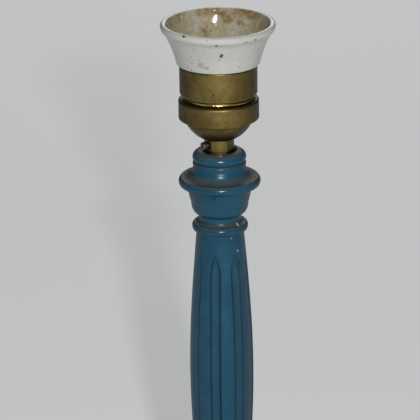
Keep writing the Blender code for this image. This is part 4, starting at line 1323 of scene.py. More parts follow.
@dataclass
class FlutedShaft(Assembly):
    """Swelling shaft with eight flutes that end in points."""

    length: float = 0.154
    end_radius: float = 0.0120
    belly_radius: float = 0.0163
    swell_angle: float = math.radians(100.0)
    flutes: int = 8
    first_turn: float = -11.5
    half_width: float = 0.0028
    depth: float = 0.0021
    end_margin: float = 0.0098
    tip_length: float = 0.0135
    tip_power: float = 2.3
    arris_round: float = 0.00012
    bore_radius: float = 0.0053
    socket_radius: float = 0.0083
    socket_depth: float = 0.0058
    columns_in_flute: int = 18
    columns_in_land: int = 14
    rows: int = 236
    row_pull: float = 0.0175
    bore_stretch: float = 0.01
    wear_scale: float = 3500.0
    edge_shade_share: float = 0.35
    edge_shade_strength: float = 0.4
    chips: Rows = (
        (42.7, 0.1453, 0.0008, 0.8), (27.3, 0.1525, 0.0005, 0.8),
        (-130.0, 0.0900, 0.0012, 1.2), (150.0, 0.0400, 0.0012, 1.2),
    )
    specks: Rows = (
        (45.9, 0.1393, 0.0009, 0.8), (-19.1, 0.1381, 0.0011), (56.6, 0.1258, 0.0009),
        (-75.0, 0.0700, 0.0008), (170.0, 0.1100, 0.0009),
    )

    def radius(self, height: np.ndarray) -> np.ndarray:
        """Radius above the lower end: a cosine swell about the middle.

        Args:
            height: Heights above the lower end.

        Returns:
            The radii.
        """
        share = np.abs(2 * height / self.length - 1)
        fall = (1 - np.cos(self.swell_angle * share)) / (1 - math.cos(self.swell_angle))
        return self.belly_radius - (self.belly_radius - self.end_radius) * fall

    def opening(self, height: np.ndarray) -> np.ndarray:
        """How far a flute is open: 0 at its points, 1 along its run, as a gothic arch between.

        Args:
            height: Heights above the lower end.

        Returns:
            Shares, 0 to 1.
        """
        from_end = np.minimum(height, self.length - height) - self.end_margin
        share = np.clip(from_end / self.tip_length, 0.0, 1.0)
        return 1 - (1 - share) ** self.tip_power

    def heights(self) -> np.ndarray:
        """Heights of the rows from the top down, closer together where the flutes end."""
        even = np.linspace(0.0, 1.0, self.rows)
        return self.length * (1 - (even + self.row_pull * np.sin(2 * FULL_TURN * even)))

    def fluted(self, heights: np.ndarray) -> Grid:
        """Outer surface: an arc cut into the swelling radius in each flute, a land between.

        Across a flute the depth is that of a circular arc through its two edges, scaled by how
        far the flute is open. The columns follow the flute's edges, so each edge stays crisp.

        Args:
            heights: Heights of the rows above the lower end.

        Returns:
            Points of shape (rows, columns, 3).
        """
        radius = self.radius(heights)[:, None]
        share = self.opening(heights)[:, None]
        half_angle = np.arcsin(np.maximum(self.half_width * share, self.arris_round) / radius)
        pitch = FULL_TURN / self.flutes
        across = np.linspace(-1.0, 1.0, self.columns_in_flute + 1)[None, :]
        land = (np.arange(1, self.columns_in_land) / self.columns_in_land)[None, :]
        in_land = half_angle + (pitch - 2 * half_angle) * land
        angle = np.concatenate([across * half_angle, in_land], axis=1)
        tool = (self.half_width**2 + self.depth**2) / (2 * self.depth)
        arc_depth = np.sqrt(tool**2 - (across * self.half_width) ** 2) - (tool - self.depth)
        near_edge = np.minimum(land, 1 - land) * self.columns_in_land
        soft = self.arris_round * np.exp(-near_edge) * share
        cut = np.concatenate([arc_depth * share, soft], axis=1)
        grids = []
        for index in range(self.flutes):
            middle = math.radians(self.first_turn) + pitch * index
            x = radius * np.sin(middle + angle) - cut * math.sin(middle)
            y = -radius * np.cos(middle + angle) + cut * math.cos(middle)
            z = np.broadcast_to(heights[:, None], x.shape)
            grids.append(np.stack([x, y, z], axis=2))
        return np.concatenate(grids, axis=1)

    def flute_edge_shade(self, heights: np.ndarray) -> np.ndarray:
        """Painted shade along both edges of each flute: a bell curve of the way in from the edge.

        Args:
            heights: Heights of the rows above the lower end.

        Returns:
            The grime of each point of the outer surface, 0 to 1.
        """
        way_in = 1 - np.abs(np.linspace(-1.0, 1.0, self.columns_in_flute + 1))
        beside = self.edge_shade_strength * bell(way_in, self.edge_shade_share)
        one = np.concatenate([beside, np.zeros(self.columns_in_land - 1)])
        return self.opening(heights)[:, None] * np.tile(one, self.flutes)[None, :]

    def build(self) -> None:
        """Make the shaft."""
        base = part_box("fluted_shaft")[0].z
        heights = self.heights()
        outer = self.fluted(heights)
        inside = [
            (self.socket_radius, 0.0),
            (self.socket_radius, self.socket_depth),
            (self.bore_radius, self.socket_depth),
            (self.bore_radius, self.length - self.socket_depth),
            (self.socket_radius, self.length - self.socket_depth),
            (self.socket_radius, self.length),
        ]
        bore = chain(inside, self.bore_stretch, closed=False)
        inner = turned(bore, np.arctan2(outer[0, :, 1], outer[0, :, 0]))
        grid = np.concatenate([outer, inner]) + np.array([0.0, 0.0, base])
        # painted shade on the flutes' walls, none on the bore
        painted_shade = np.concatenate([self.flute_edge_shade(heights), np.zeros(inner.shape[:2])])
        skin = Skin("shaft_fluted", grid, wear_scale=self.wear_scale, painted_shade=painted_shade)
        side = np.stack([self.radius(heights), heights], 1)
        finish = BluePaint(
            "paint_shaft",
            turned_lines=False,
            wear_amount=0.5,
            crease_shade_amount=0.85,
            chips=marks_on(side, base, self.chips),
            specks=marks_on(side, base, self.specks),
        )
        self.bench.settle(skin.make(), finish, Body.COLUMN, "fluted_shaft")


@dataclass
class Capital(Assembly):
    """Turned top of the column: ring, bell, flange, urn and lower ring."""

    recess_radius: float = 0.0087
    recess_depth: float = 0.0085
    ring_radius: float = 0.01355
    ring_round: float = 0.0045
    ring_round_height: float = 0.0072
    ring_height: float = 0.0059
    fillet_radius: float = 0.0135
    fillet_round: float = 0.0008
    fillet_height: float = 0.0022
    neck_radius: float = 0.0132
    neck_height: float = 0.0012
    bell_height: float = 0.0047
    bell_waist_radius: float = 0.0136
    bell_radius: float = 0.0196
    flange_radius: float = 0.0207
    flange_height: float = 0.0046
    flange_round: float = 0.0016
    flange_round_height: float = 0.0046
    urn_radius: float = 0.0165
    urn_belly_radius: float = 0.0145
    urn_taper_height: float = 0.0091
    urn_taper_power: float = 1.2
    urn_foot_radius: float = 0.0106
    urn_bowl_height: float = 0.0060
    waist_height: float = 0.0025
    flare_height: float = 0.0020
    flare_radius: float = 0.0134
    band_radius: float = 0.0142
    band_height: float = 0.0039
    band_round: float = 0.0008
    band_round_height: float = 0.0044
    tenon_radius: float = 0.0080
    tenon_length: float = 0.0055
    bore_radius: float = 0.0053
    gap: float = 0.0003
    stretch: float = 0.0003
    wear_scale: float = 1500.0
    columns: int = 256
    chips: Rows = (
        (48.2, -0.0380, 0.0011, 0.8), (49.0, -0.0374, 0.0009, 0.8), (1.0, -0.0003, 0.0007, 1.4),
        (4.5, -0.0003, 0.0006, 1.4), (110.0, -0.0003, 0.0012, 1.2), (118.0, -0.0003, 0.0010, 1.2),
        (-150.0, -0.0165, 0.0014, 1.2), (160.0, -0.0360, 0.0012, 1.2),
    )
    specks: Rows = (
        (-10.6, -0.0209, 0.0016, 2.2), (34.0, -0.0190, 0.0006), (-120.0, -0.0230, 0.0008),
    )

    def outline(self) -> Outline:
        """Outer side from the top edge at height 0 down, then the bore and the recess.

        Returns:
            The outline.
        """
        fillet_top = -self.ring_height
        neck_top = fillet_top - self.fillet_height
        bell_top = neck_top - self.neck_height
        urn_top = bell_top - self.bell_height - self.flange_height
        bowl_top = urn_top - self.urn_taper_height
        flare_top = bowl_top - self.urn_bowl_height - self.waist_height
        bottom = flare_top - self.flare_height - self.band_height
        ring = (self.ring_round, self.ring_round_height / 2)
        fillet = (self.fillet_round, self.fillet_height / 2)
        fillet_centre = (self.fillet_radius - self.fillet_round, (fillet_top + neck_top) / 2)
        bell_reach = (self.bell_radius - self.bell_waist_radius, self.bell_height)
        flange = (self.flange_round, self.flange_round_height / 2)
        bowl = (self.urn_belly_radius - self.urn_foot_radius, self.urn_bowl_height)
        flare = (self.flare_radius - self.urn_foot_radius, self.flare_height)
        band = (self.band_round, self.band_round_height / 2)
        taper = ((self.urn_radius, urn_top), (self.urn_belly_radius, bowl_top))
        pieces = [
            arc((self.ring_radius - self.ring_round, -ring[1]), ring, (90, -40), 40),
            arc(fillet_centre, fillet, (70, -30), 16),
            (self.neck_radius, neck_top - self.gap),
            arc((self.bell_radius, bell_top), bell_reach, (186, 270), 30),
            arc((self.flange_radius - flange[0], urn_top + flange[1]), flange, (26, -90), 24),
            sweep(*taper, self.urn_taper_power),
            arc((self.urn_foot_radius, bowl_top), bowl, (-4, -90), 24),
            arc((self.flare_radius, flare_top), flare, (180, 270), 20),
            arc((self.band_radius - self.band_round, bottom + band[1]), band, (10, -90), 18),
            (self.tenon_radius, bottom),
            (self.tenon_radius, bottom - self.tenon_length),
            (self.bore_radius, bottom - self.tenon_length),
            (self.bore_radius, -self.recess_depth),
            (self.recess_radius, -self.recess_depth),
            (self.recess_radius, -self.gap * 2),
            (self.recess_radius + self.gap, 0.0),
        ]
        return softened(chain(pieces, self.stretch), 3)

    def build(self) -> None:
        """Make the capital."""
        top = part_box("capital")[1].z
        outline = self.outline()
        grid = turned(outline, around(self.columns)) + np.array([0.0, 0.0, top])
        piece = Skin("capital_turned", grid, wear_scale=self.wear_scale).make()
        chips = marks_on(outline, top, self.chips)
        specks = marks_on(outline, top, self.specks)
        finish = BluePaint("paint_capital", wear_amount=0.5, chips=chips, specks=specks)
        self.bench.settle(piece, finish, Body.COLUMN, "capital")


@dataclass
class Holder(Assembly):
    """Brass lampholder; heights are from the sleeve's lower edge."""

    wall: float = 0.0009
    gap: float = 0.0003
    neck_radius: float = 0.0183
    neck_above: float = 0.0065
    groove_height: float = 0.0024
    groove_shade: float = 0.8
    neck_thread_pitch: float = 0.0016
    neck_thread_depth: float = 0.00040
    lip_shade_reach: float = 0.0016
    shoulder_height: float = 0.0014
    cap_radius: float = 0.0202
    band_height: float = 0.0087
    lip_round: float = 0.0003
    bowl_radius: float = 0.0174
    bowl_depth: float = 0.0099
    bowl_full_depth: float = 0.0120
    bowl_fall_power: float = 1.34
    bowl_round_power: float = 2.48
    neck_round_radius: float = 0.0066
    neck_shown: float = 0.0072
    neck_below_rim: float = 0.0028
    neck_round_height: float = 0.0008
    neck_flats: float = 0.0134
    neck_chamfer_share: float = 0.90
    neck_round_share: float = 0.6
    neck_ripple: float = 0.00005
    neck_ripple_pitch: float = 0.0008
    neck_bore_radius: float = 0.0053
    rivet_radius: float = 0.0084
    rivet_thickness: float = 0.0008
    sleeve_radius: float = 0.0195
    sleeve_length: float = 0.0155
    sleeve_edge_round: float = 0.0012
    top_shade: float = 0.9
    top_shade_reach: float = 0.0006
    stretch: float = 0.0003
    neck_stretch: float = 0.00016
    columns: int = 256
    neck_columns: int = 240
    sleeve_specks: Rows = (
        (-8.3, 0.0051, 0.0006), (0.4, 0.0052, 0.0003), (140.0, 0.0080, 0.0009),
    )
    edge_height: float = field(init=False)

    def __post_init__(self) -> None:
        """Read the height of the sleeve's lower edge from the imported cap."""
        self.edge_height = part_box("holder_cap")[1].z - self.neck_above

    def bowl(self, share: np.ndarray) -> Outline:
        """The cap's bowl: the radius falls as a rounded power of the depth below the band.

        Args:
            share: Shares of the bowl's depth.

        Returns:
            The outline.
        """
        depth = self.bowl_depth * share
        fall = 1 - (depth / self.bowl_full_depth) ** self.bowl_fall_power
        radius = self.bowl_radius * fall ** (1 / self.bowl_round_power)
        return np.stack([radius, self.band_bottom() - depth], 1)

    def band_bottom(self) -> float:
        """Height of the band's lower edge."""
        return -self.groove_height - self.shoulder_height - self.band_height

    def cap_floor(self) -> float:
        """Height of the underside of the bowl."""
        return self.band_bottom() - self.bowl_depth

    def cap_outline(self) -> Outline:
        """Outer side of the cap from the top of its neck, then its inner side back up.

        Returns:
            The outline.
        """
        shoulder_top = -self.groove_height
        band_top = shoulder_top - self.shoulder_height
        shoulder = (self.shoulder_height, self.shoulder_height)
        bowl = self.bowl(np.linspace(0.0, 1.0, 40))
        hole = self.neck_round_radius + self.gap
        lip = self.lip_round
        bottom = self.band_bottom()
        pieces = [
            (self.neck_radius, self.neck_above),
            (self.neck_radius, shoulder_top),
            arc((self.cap_radius - self.shoulder_height, band_top), shoulder, (80, 0), 14),
            arc((self.cap_radius - lip, bottom + lip), (lip, lip), (0, -90), 6),
            bowl,
            (hole, self.cap_floor()),
            (hole, self.cap_floor() + self.wall),
            bowl[::-1] + np.array([-self.wall, self.wall]),
            (self.cap_radius - self.wall, bottom + self.wall),
            (self.cap_radius - self.wall, band_top - self.wall / 2),
            (self.neck_radius - self.wall, shoulder_top - self.wall / 2),
            (self.neck_radius - self.wall, self.neck_above),
        ]
        return chain(pieces, self.stretch)

    def build_cap(self) -> None:
        """Cap, with the rolled thread of its neck showing in the groove under the sleeve.

        The thread's ridges are polished, and painted shade lies on the bowl close under the lip and in
        the groove."""
        grid = turned(self.cap_outline(), around(self.columns))
        radius, height, turn = polar(grid)
        on_neck = (np.abs(radius - self.neck_radius) < self.gap) & (height > -self.groove_height)
        wave = thread(height, turn, self.neck_thread_pitch)
        fade = np.clip((height + self.groove_height) / self.gap, 0.0, 1.0)
        draw_in(grid, np.where(on_neck, wave * fade * self.neck_thread_depth, 0.0), self.gap)
        polish = np.where(on_neck, np.clip(1.4 - 2.2 * wave, 0.0, 1.0), 0.0)
        under_lip = (radius < self.bowl_radius + self.gap) & (height < self.band_bottom())
        depth = np.maximum(self.band_bottom() - height, 0.0)
        in_groove = (radius < self.neck_radius + self.gap) & (height < -self.groove_height / 2)
        in_groove &= ~under_lip & ~on_neck
        # painted shade under the band's lip and in the groove below the sleeve
        painted_shade = np.where(under_lip, bell(depth, self.lip_shade_reach), 0.0)
        painted_shade = np.maximum(painted_shade, np.where(in_groove, self.groove_shade, 0.0))
        grid[..., 2] += self.edge_height
        skin = Skin("cap_turned", grid, wear_scale=1500.0, painted_shade=painted_shade, polish=polish)
        self.bench.settle(skin.make(), Brass("brass_cap"), Body.HOLDER, "holder_cap")

    def build_sleeve(self) -> None:
        """Sleeve with a rounded lower edge; painted shadow of the collar lies along its upper edge."""
        bore = self.sleeve_radius - self.wall
        edge = self.sleeve_edge_round
        top = self.sleeve_length
        pieces = [
            (self.sleeve_radius - self.gap, top),
            (self.sleeve_radius, top - self.gap),
            arc((self.sleeve_radius - edge, edge), (edge, edge), (0, -75), 14),
            (bore, edge / 2),
            (bore, top),
        ]
        outline = softened(chain(pieces, self.stretch), 1)
        grid = turned(outline, around(self.columns))
        # painted shadow of the collar along the sleeve's upper edge
        below_top = np.maximum(top - grid[..., 2], 0.0)
        painted_shade = self.top_shade * bell(below_top, self.top_shade_reach)
        grid[..., 2] += self.edge_height
        sleeve = Skin("sleeve_turned", grid, painted_shade=painted_shade).make()
        specks = marks_on(outline, self.edge_height, self.sleeve_specks)
        finish = Brass("brass_sleeve", specks=specks)
        self.bench.settle(sleeve, finish, Body.SLEEVE, "holder_sleeve")

    def build_neck(self) -> None:
        """Hexagonal neck collar with chamfered ends, a round neck and a rivet flange above.

        The hexagon's radius is its apothem over the cosine of the angle from the nearest flat,
        drawn towards the radius of its corners by the round share and cut off by a cone at each
        end. Fine turning rings, a cosine of the height, run round it."""
        floor = self.cap_floor()
        top = floor - self.neck_round_height
        bottom = floor - self.neck_shown - self.neck_below_rim
        corner = self.neck_flats / math.sqrt(3.0)
        chamfer = corner * self.neck_chamfer_share
        rivet_base = floor + self.wall + self.gap
        rivet_top = rivet_base + self.rivet_thickness
        pieces = [
            (self.rivet_radius, rivet_top),
            (self.rivet_radius, rivet_base),
            (self.neck_round_radius, rivet_base),
            (self.neck_round_radius, top),
            (chamfer, top),
            (corner, top - self.wall / 2),
            (corner, bottom + self.wall / 2),
            (chamfer, bottom),
            (self.neck_bore_radius, bottom),
            (self.neck_bore_radius, rivet_top),
        ]
        grid = turned(chain(pieces, self.neck_stretch), around(self.neck_columns))
        radius, height, turn = polar(grid)
        from_flat = ((turn * 6 + 2) % 1 - 0.5) * FULL_TURN / 6
        sharp = self.neck_flats / 2 / np.cos(from_flat)
        hexagon = sharp + (corner - self.gap - sharp) * self.neck_round_share
        ring = np.cos(FULL_TURN * height / self.neck_ripple_pitch)
        hexagon += self.neck_ripple * (ring - 1) / 2
        in_hex = (height < top + POLE_MERGE) & (radius > self.neck_round_radius)
        limited = np.where(in_hex, np.minimum(radius, hexagon), radius)
        grid[..., :2] *= (limited / radius)[..., None]
        grid[..., 2] += self.edge_height
        neck = Skin("neck_hexagon", grid, wear_scale=1800.0).make()
        finish = Brass("brass_neck", roughness=0.34, age=0.5)
        self.bench.settle(neck, finish, Body.HOLDER, "neck_collar")


@dataclass
class Collar(Assembly):
    """Flared porcelain collar with a thick rolled rim; its edge_height is the sleeve's."""

    edge_height: float
    base_above: float = 0.0158
    base_radius: float = 0.02115
    base_round: float = 0.0012
    flare_height: float = 0.0162
    flare_radius: float = 0.0269
    flare_bend: float = 0.00055
    rim_radius: float = 0.0288
    rim_height: float = 0.0194
    rim_round: float = 0.00175
    rim_rise: float = 0.0016
    rim_drop: float = 0.0026
    funnel_depth: float = 0.0203
    funnel_power: float = 1.4
    bore_radius: float = 0.0162
    spigot_length: float = 0.0052
    spigot_radius: float = 0.0183
    long_sway: float = 0.00010
    short_sway: float = 0.00005
    sag: float = 0.00015
    stretch: float = 0.0005
    columns: int = 320
    stains: Rows = (
        (155.0, 0.0356, 0.0046, 2.6), (147.0, 0.0354, 0.0056, 2.6), (138.0, 0.0355, 0.0048, 2.6),
        (129.0, 0.0352, 0.0030, 2.6), (-159.0, 0.0357, 0.0034, 2.6), (-168.0, 0.0356, 0.0040, 2.6),
        (-177.0, 0.0354, 0.0034, 2.6), (166.5, 0.0325, 0.0040, 2.8), (170.0, 0.0305, 0.0036, 2.8),
        (174.0, 0.0340, 0.0030, 2.8), (-132.0, 0.0346, 0.0038, 2.6), (-110.0, 0.0340, 0.0034, 2.8),
        (-163.0, 0.0259, 0.0036, 2.6), (152.0, 0.0300, 0.0030, 2.8), (119.0, 0.0309, 0.0024, 2.6),
        (-20.0, 0.0310, 0.0040, 2.6), (35.0, 0.0345, 0.0044, 2.6), (70.0, 0.0270, 0.0040, 2.8),
    )
    faint: Rows = (
        (-22.6, 0.0207, 0.0026, 2.4), (-14.9, 0.0193, 0.0016, 2.4), (28.0, 0.0332, 0.0014, 2.4),
    )
    specks: Rows = (
        (-36.0, 0.0362, 0.0011), (-37.4, 0.0364, 0.0008), (-2.6, 0.0328, 0.0008),
        (-1.4, 0.0329, 0.0010), (29.6, 0.0337, 0.0005), (39.8, 0.0338, 0.0009),
        (3.9, 0.0270, 0.0013, 0.7), (3.1, 0.0263, 0.0013, 0.7), (1.2, 0.0241, 0.0006),
        (-39.0, 0.0172, 0.0006), (100.0, 0.0280, 0.0008), (171.0, 0.0240, 0.0010),
        (-120.0, 0.0220, 0.0007), (61.8, 0.0279, 0.0005), (53.8, 0.0269, 0.0006),
        (28.1, 0.0192, 0.0005), (12.8, 0.0309, 0.0004), (-10.9, 0.0357, 0.0004),
        (-15.7, 0.0294, 0.0004), (-24.3, 0.0237, 0.0005), (-28.2, 0.0296, 0.0005),
        (-35.3, 0.0247, 0.0005), (-35.7, 0.0212, 0.0005), (-45.3, 0.0178, 0.0006),
    )

    def flare(self) -> Outline:
        """Flared side from the rim down: a straight taper, bent in by half a sine wave.

        Returns:
            The outline.
        """
        share = np.linspace(0.0, 0.98, 40)
        bend = self.flare_bend * np.sin(math.pi * share)
        radius = self.flare_radius + (self.base_radius - self.flare_radius) * share - bend
        top = self.base_above + self.flare_height
        bottom = self.base_above + self.base_round
        return np.stack([radius, top + (bottom - top) * share], 1)

    def funnel(self, rim: Pair) -> Outline:
        """Inner side from the bore up to the rim: the radius spreads as a power of the rise.

        Args:
            rim: Middle of the rim's rounding.

        Returns:
            The outline.
        """
        rising = np.linspace(0.01, 1.0, 36)
        spread = 1 - (1 - rising) ** self.funnel_power
        radius = self.bore_radius + (rim[0] - self.rim_round - self.bore_radius) * spread
        return np.stack([radius, rim[1] - self.funnel_depth + self.funnel_depth * rising], 1)

    def outline(self) -> Outline:
        """Outer side from the crest down, then the spigot, the bore and the funnel.

        Returns:
            The outline.
        """
        base = self.base_above
        rim = (self.rim_radius - self.rim_round, base + self.rim_height)
        crest = (self.rim_round, self.rim_rise)
        corner = (self.base_round, self.base_round)
        corner_centre = (self.base_radius - self.base_round, base + self.base_round)
        roll = arc(rim, (self.rim_round, self.rim_drop), (-6, -55), 12)
        under_roll = chain([roll, self.flare()], self.stretch, closed=False)
        pieces = [
            arc(rim, crest, (90, 0), 16),
            softened(under_roll, 12, closed=False),
            arc(corner_centre, corner, (0, -90)),
            (self.spigot_radius, base),
            (self.spigot_radius, base - self.spigot_length),
            (self.bore_radius, base - self.spigot_length),
            (self.bore_radius, rim[1] - self.funnel_depth),
            self.funnel(rim),
            arc(rim, crest, (172, 96), 14),
        ]
        return softened(chain(pieces, self.stretch), 3)

    def build(self) -> None:
        """Make the collar, whose rim sways by two sine waves of the turn, as thrown pots do."""
        outline = self.outline()
        turn = around(self.columns)
        grid = turned(outline, turn)
        lift = np.clip((grid[..., 2] - self.base_above) / self.flare_height, 0.0, 1.0)
        sway = self.long_sway * np.sin(2 * turn + 0.6) + self.short_sway * np.sin(5 * turn)
        grid[..., 2] += lift * (sway - self.sag)
        grid[..., 2] += self.edge_height
        collar = Skin("collar_glazed", grid, wear_reach=3, wear_scale=700.0).make()
        finish = Porcelain(
            "porcelain_glazed",
            stains=marks_on(outline, self.edge_height, self.stains, inside=True),
            faint=marks_on(outline, self.edge_height, self.faint),
            specks=marks_on(outline, self.edge_height, self.specks),
        )
        self.bench.settle(collar, finish, Body.COLLAR, "porcelain_collar")


@dataclass(frozen=True)
class Screw:
    """Slotted screw with a rounded cheese head and a rolled thread."""

    head_radius: float
    head_height: float
    shank_radius: float
    length: float
    slot_width: float = 0.0008
    slot_depth: float = 0.0008
    pitch: float = 0.0005
    thread_depth: float = 0.00012
    columns: int = 72

    def shape(self) -> Grid:
        """Head and shank about Z, the head up; the thread is drawn into the shank's radius.

        Returns:
            The grid.
        """
        edge = self.head_height / 5
        pieces = [
            (0.0, self.head_height),
            arc((self.head_radius - edge, self.head_height - edge), (edge, edge), (90, 0), 6),
            (self.head_radius, 0.0),
            (self.shank_radius, 0.0),
            (self.shank_radius, -self.length),
            (0.0, -self.length),
        ]
        grid = turned(chain(pieces, self.pitch / 6, closed=False), around(self.columns))
        radius, height, turn = polar(grid)
        on_shank = (height < 0.0) & (height > -self.length) & (radius > self.shank_radius / 2)
        depth = thread(height, turn, self.pitch) * self.thread_depth
        draw_in(grid, np.where(on_shank, depth, 0.0), self.shank_radius / 2)
        return grid

    def build(self, name: str, origin: Vector, axis: Vector) -> bpy.types.Object:
        """Make the screw and cut its slot.

        Args:
            name: Name of the object.
            origin: Middle of the head's underside.
            axis: Direction that the head points to.

        Returns:
            The screw.
        """
        grid = aimed(self.shape(), origin, axis)
        screw = Skin(name, grid, closed_rows=False, wear_reach=1, wear_scale=6000.0).make()
        span = (self.head_height - self.slot_depth, self.head_height + self.slot_depth)
        blade = bar((self.head_radius * 1.4, self.slot_width / 2), span, self.slot_width / 8)
        carve(screw, [Skin("slot", aimed(blade, origin, axis), closed_rows=False).make()])
        return screw


@dataclass
class Fittings(Assembly):
    """What carries the current, with its screws; heights are from the sleeve's lower edge."""

    holder: Holder
    gap: float = 0.0003
    lock_turn: float = -60.0
    lock_below_cap: float = 0.0041
    lock_standout: float = 0.0009
    lock_head_radius: float = 0.0022
    lock_head_height: float = 0.0023
    lock_shank: float = 0.0015
    lock_tip_radius: float = 0.0053
    core_radius: float = 0.0166
    core_flange_bottom: float = 0.0068
    core_flange_thickness: float = 0.0032
    core_well_radius: float = 0.0143
    core_well_depth: float = 0.0075
    core_edge: float = 0.0005
    core_stretch: float = 0.0005
    core_columns: int = 160
    wire_hole_radius: float = 0.0016
    wire_hole_offset: float = 0.0110
    shell_pitch: float = 0.00362
    shell_turns: int = 5
    shell_wall: float = 0.0004
    shell_middle: float = 0.01325
    shell_wave: float = 0.0005
    shell_hole_radius: float = 0.0070
    shell_rim: float = 0.0012
    shell_stretch: float = 0.00016
    shell_columns: int = 192
    small_head_radius: float = 0.0019
    small_head_height: float = 0.0012
    small_shank: float = 0.0010
    contact_screw_share: float = 0.8
    screw_offset: float = 0.0095
    screw_hole_depth: float = 0.0048
    leaf_width: float = 0.0045
    leaf_thickness: float = 0.0004
    leaf_root: float = -0.0023
    leaf_path: tuple[Pair, ...] = (
        (0.0, 0.0), (0.0040, 0.0034), (0.0048, 0.0036), (0.0056, 0.0034), (0.00624, 0.0028),
    )
    tab_span: Pair = (-0.0062, -0.0026)
    block_edge: float = 0.0004
    wire_way_radius: float = 0.0012

    def screw_hole(self, span: Pair, middle: Vector, axis: Vector = UP) -> bpy.types.Object:
        """A cutter for the hole of a small screw, along an axis past a point."""
        return drill(self.small_shank + self.gap, span, middle, axis)

    def build_lock_screw(self) -> None:
        """Locking screw that stands out of the neck and presses on the tube."""
        out = front(self.lock_turn)
        seat = self.holder.neck_flats / 2 + self.lock_standout
        height = self.holder.edge_height + self.holder.cap_floor() - self.lock_below_cap
        head = (self.lock_head_radius, self.lock_head_height)
        screw = Screw(*head, self.lock_shank, seat - self.lock_tip_radius)
        piece = screw.build("lock_screw_slotted", out * seat + UP * height, out)
        self.bench.settle(piece, ZincSteel("steel_rusty", rust=0.8), Body.LOCK, "lock_screw")

    def small_screw(self, node: str, axis: Vector, share: float = 1.0) -> None:
        """Make one of the small screws in its CAD node's place.

        Args:
            node: The CAD node.
            axis: Direction that its head points to.
            share: Size of the head against the usual one.
        """
        low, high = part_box(node)
        head = self.small_head_height * share
        reach = abs((high - low).dot(axis))
        screw = Screw(self.small_head_radius * share, head, self.small_shank, reach - head)
        origin = (low + high) / 2 + axis * (reach / 2 - head)
        self.bench.settle(screw.build(f"{node}_slotted", origin, axis), PLAIN_STEEL, Body.HOLDER, node)

    def build_core(self) -> None:
        """Porcelain core with a well, two wire holes and the holes of its screws."""
        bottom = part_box("porcelain_core")[0].z
        flange = self.holder.sleeve_radius - self.holder.wall - self.gap
        under = self.holder.edge_height + self.core_flange_bottom
        top = under + self.core_flange_thickness
        floor = top - self.core_well_depth
        edge = self.core_edge
        pieces = [
            (0.0, floor),
            (self.core_well_radius, floor),
            (self.core_well_radius, top - edge),
            (self.core_well_radius + edge, top),
            arc((flange - edge, top - edge), (edge, edge), (90, 0), 6),
            (flange, under),
            (self.core_radius, under),
            arc((self.core_radius - edge, bottom + edge), (edge, edge), (0, -90), 6),
            (0.0, bottom),
        ]
        outline = chain(pieces, self.core_stretch, closed=False)
        grid = turned(outline, around(self.core_columns))
        core = Skin("core_fired", grid[::-1, ::-1], closed_rows=False).make()
        through = (bottom - self.gap, floor + self.gap)
        shallow = (floor - self.screw_hole_depth, floor + self.gap)
        wires = [Vector((side * self.wire_hole_offset, 0.0, 0.0)) for side in (-1, 1)]
        screws = [Vector((0.0, side * self.screw_offset, 0.0)) for side in (-1, 1)]
        screws.append(Vector((sum(self.tab_span) / 2, 0.0, 0.0)))
        holes = [drill(self.wire_hole_radius, through, place) for place in wires]
        carve(core, holes + [self.screw_hole(shallow, place) for place in screws])
        biscuit = Porcelain("porcelain_biscuit", glazed=False)
        self.bench.settle(core, biscuit, Body.HOLDER, "porcelain_core")

    def build_shell(self) -> None:
        """Rolled thread shell with a holed floor.

        The radius of its wall is the plain one plus a sine wave of the climb in pitches minus
        the turn, faded out at the floor and the rim."""
        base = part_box("screw_shell")[0].z
        top = self.shell_pitch * self.shell_turns + self.shell_rim
        inner = self.shell_middle - self.shell_wall
        pieces = [
            (self.shell_middle, top),
            (self.shell_middle, 0.0),
            (self.shell_hole_radius, 0.0),
            (self.shell_hole_radius, self.shell_wall),
            (inner, self.shell_wall),
            (inner, top),
        ]
        grid = turned(chain(pieces, self.shell_stretch), around(self.shell_columns))
        radius, height, turn = polar(grid)
        from_end = np.minimum(height - self.shell_wall, top - height)
        fade = np.clip(from_end / self.shell_rim, 0.0, 1.0)
        wave = self.shell_wave * fade * np.sin(FULL_TURN * (height / self.shell_pitch - turn))
        on_wall = radius > inner - self.shell_wall / 4
        draw_in(grid, np.where(on_wall, -wave, 0.0), self.shell_wall)
        grid[..., 2] += base
        shell = Skin("shell_rolled", grid, wear_scale=1800.0).make()
        span = (base - self.gap, base + self.shell_wall + self.gap)
        places = [Vector((0.0, side * self.screw_offset, 0.0)) for side in (-1, 1)]
        carve(shell, [self.screw_hole(span, place) for place in places])
        finish = Brass("brass_shell", roughness=0.3, age=0.4)
        self.bench.settle(shell, finish, Body.HOLDER, "screw_shell")

    def build_contact(self) -> None:
        """Sprung leaf and the tab that it starts from, both bent from brass strip."""
        low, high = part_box("contact_tab")
        middle = (low.z + high.z) / 2
        half = (self.leaf_width / 2, self.leaf_thickness / 2)
        step = self.block_edge / 2
        bent = softened(chain(self.leaf_path, step, closed=False), 12, closed=False)
        leaf_grid = strip(bent, half) + np.array([self.leaf_root, 0.0, middle])
        leaf = Skin("leaf_bent", leaf_grid, closed_rows=False).make()
        self.bench.settle(leaf, INSIDE_BRASS, Body.CONTACT, "centre_contact")
        flat = chain([(end, middle) for end in self.tab_span], step, closed=False)
        tab = Skin("tab_punched", strip(flat, half), closed_rows=False).make()
        span = (low.z - self.gap, high.z + self.gap)
        carve(tab, [self.screw_hole(span, Vector((sum(self.tab_span) / 2, 0.0, 0.0)))])
        self.bench.settle(tab, INSIDE_BRASS, Body.HOLDER, "contact_tab")

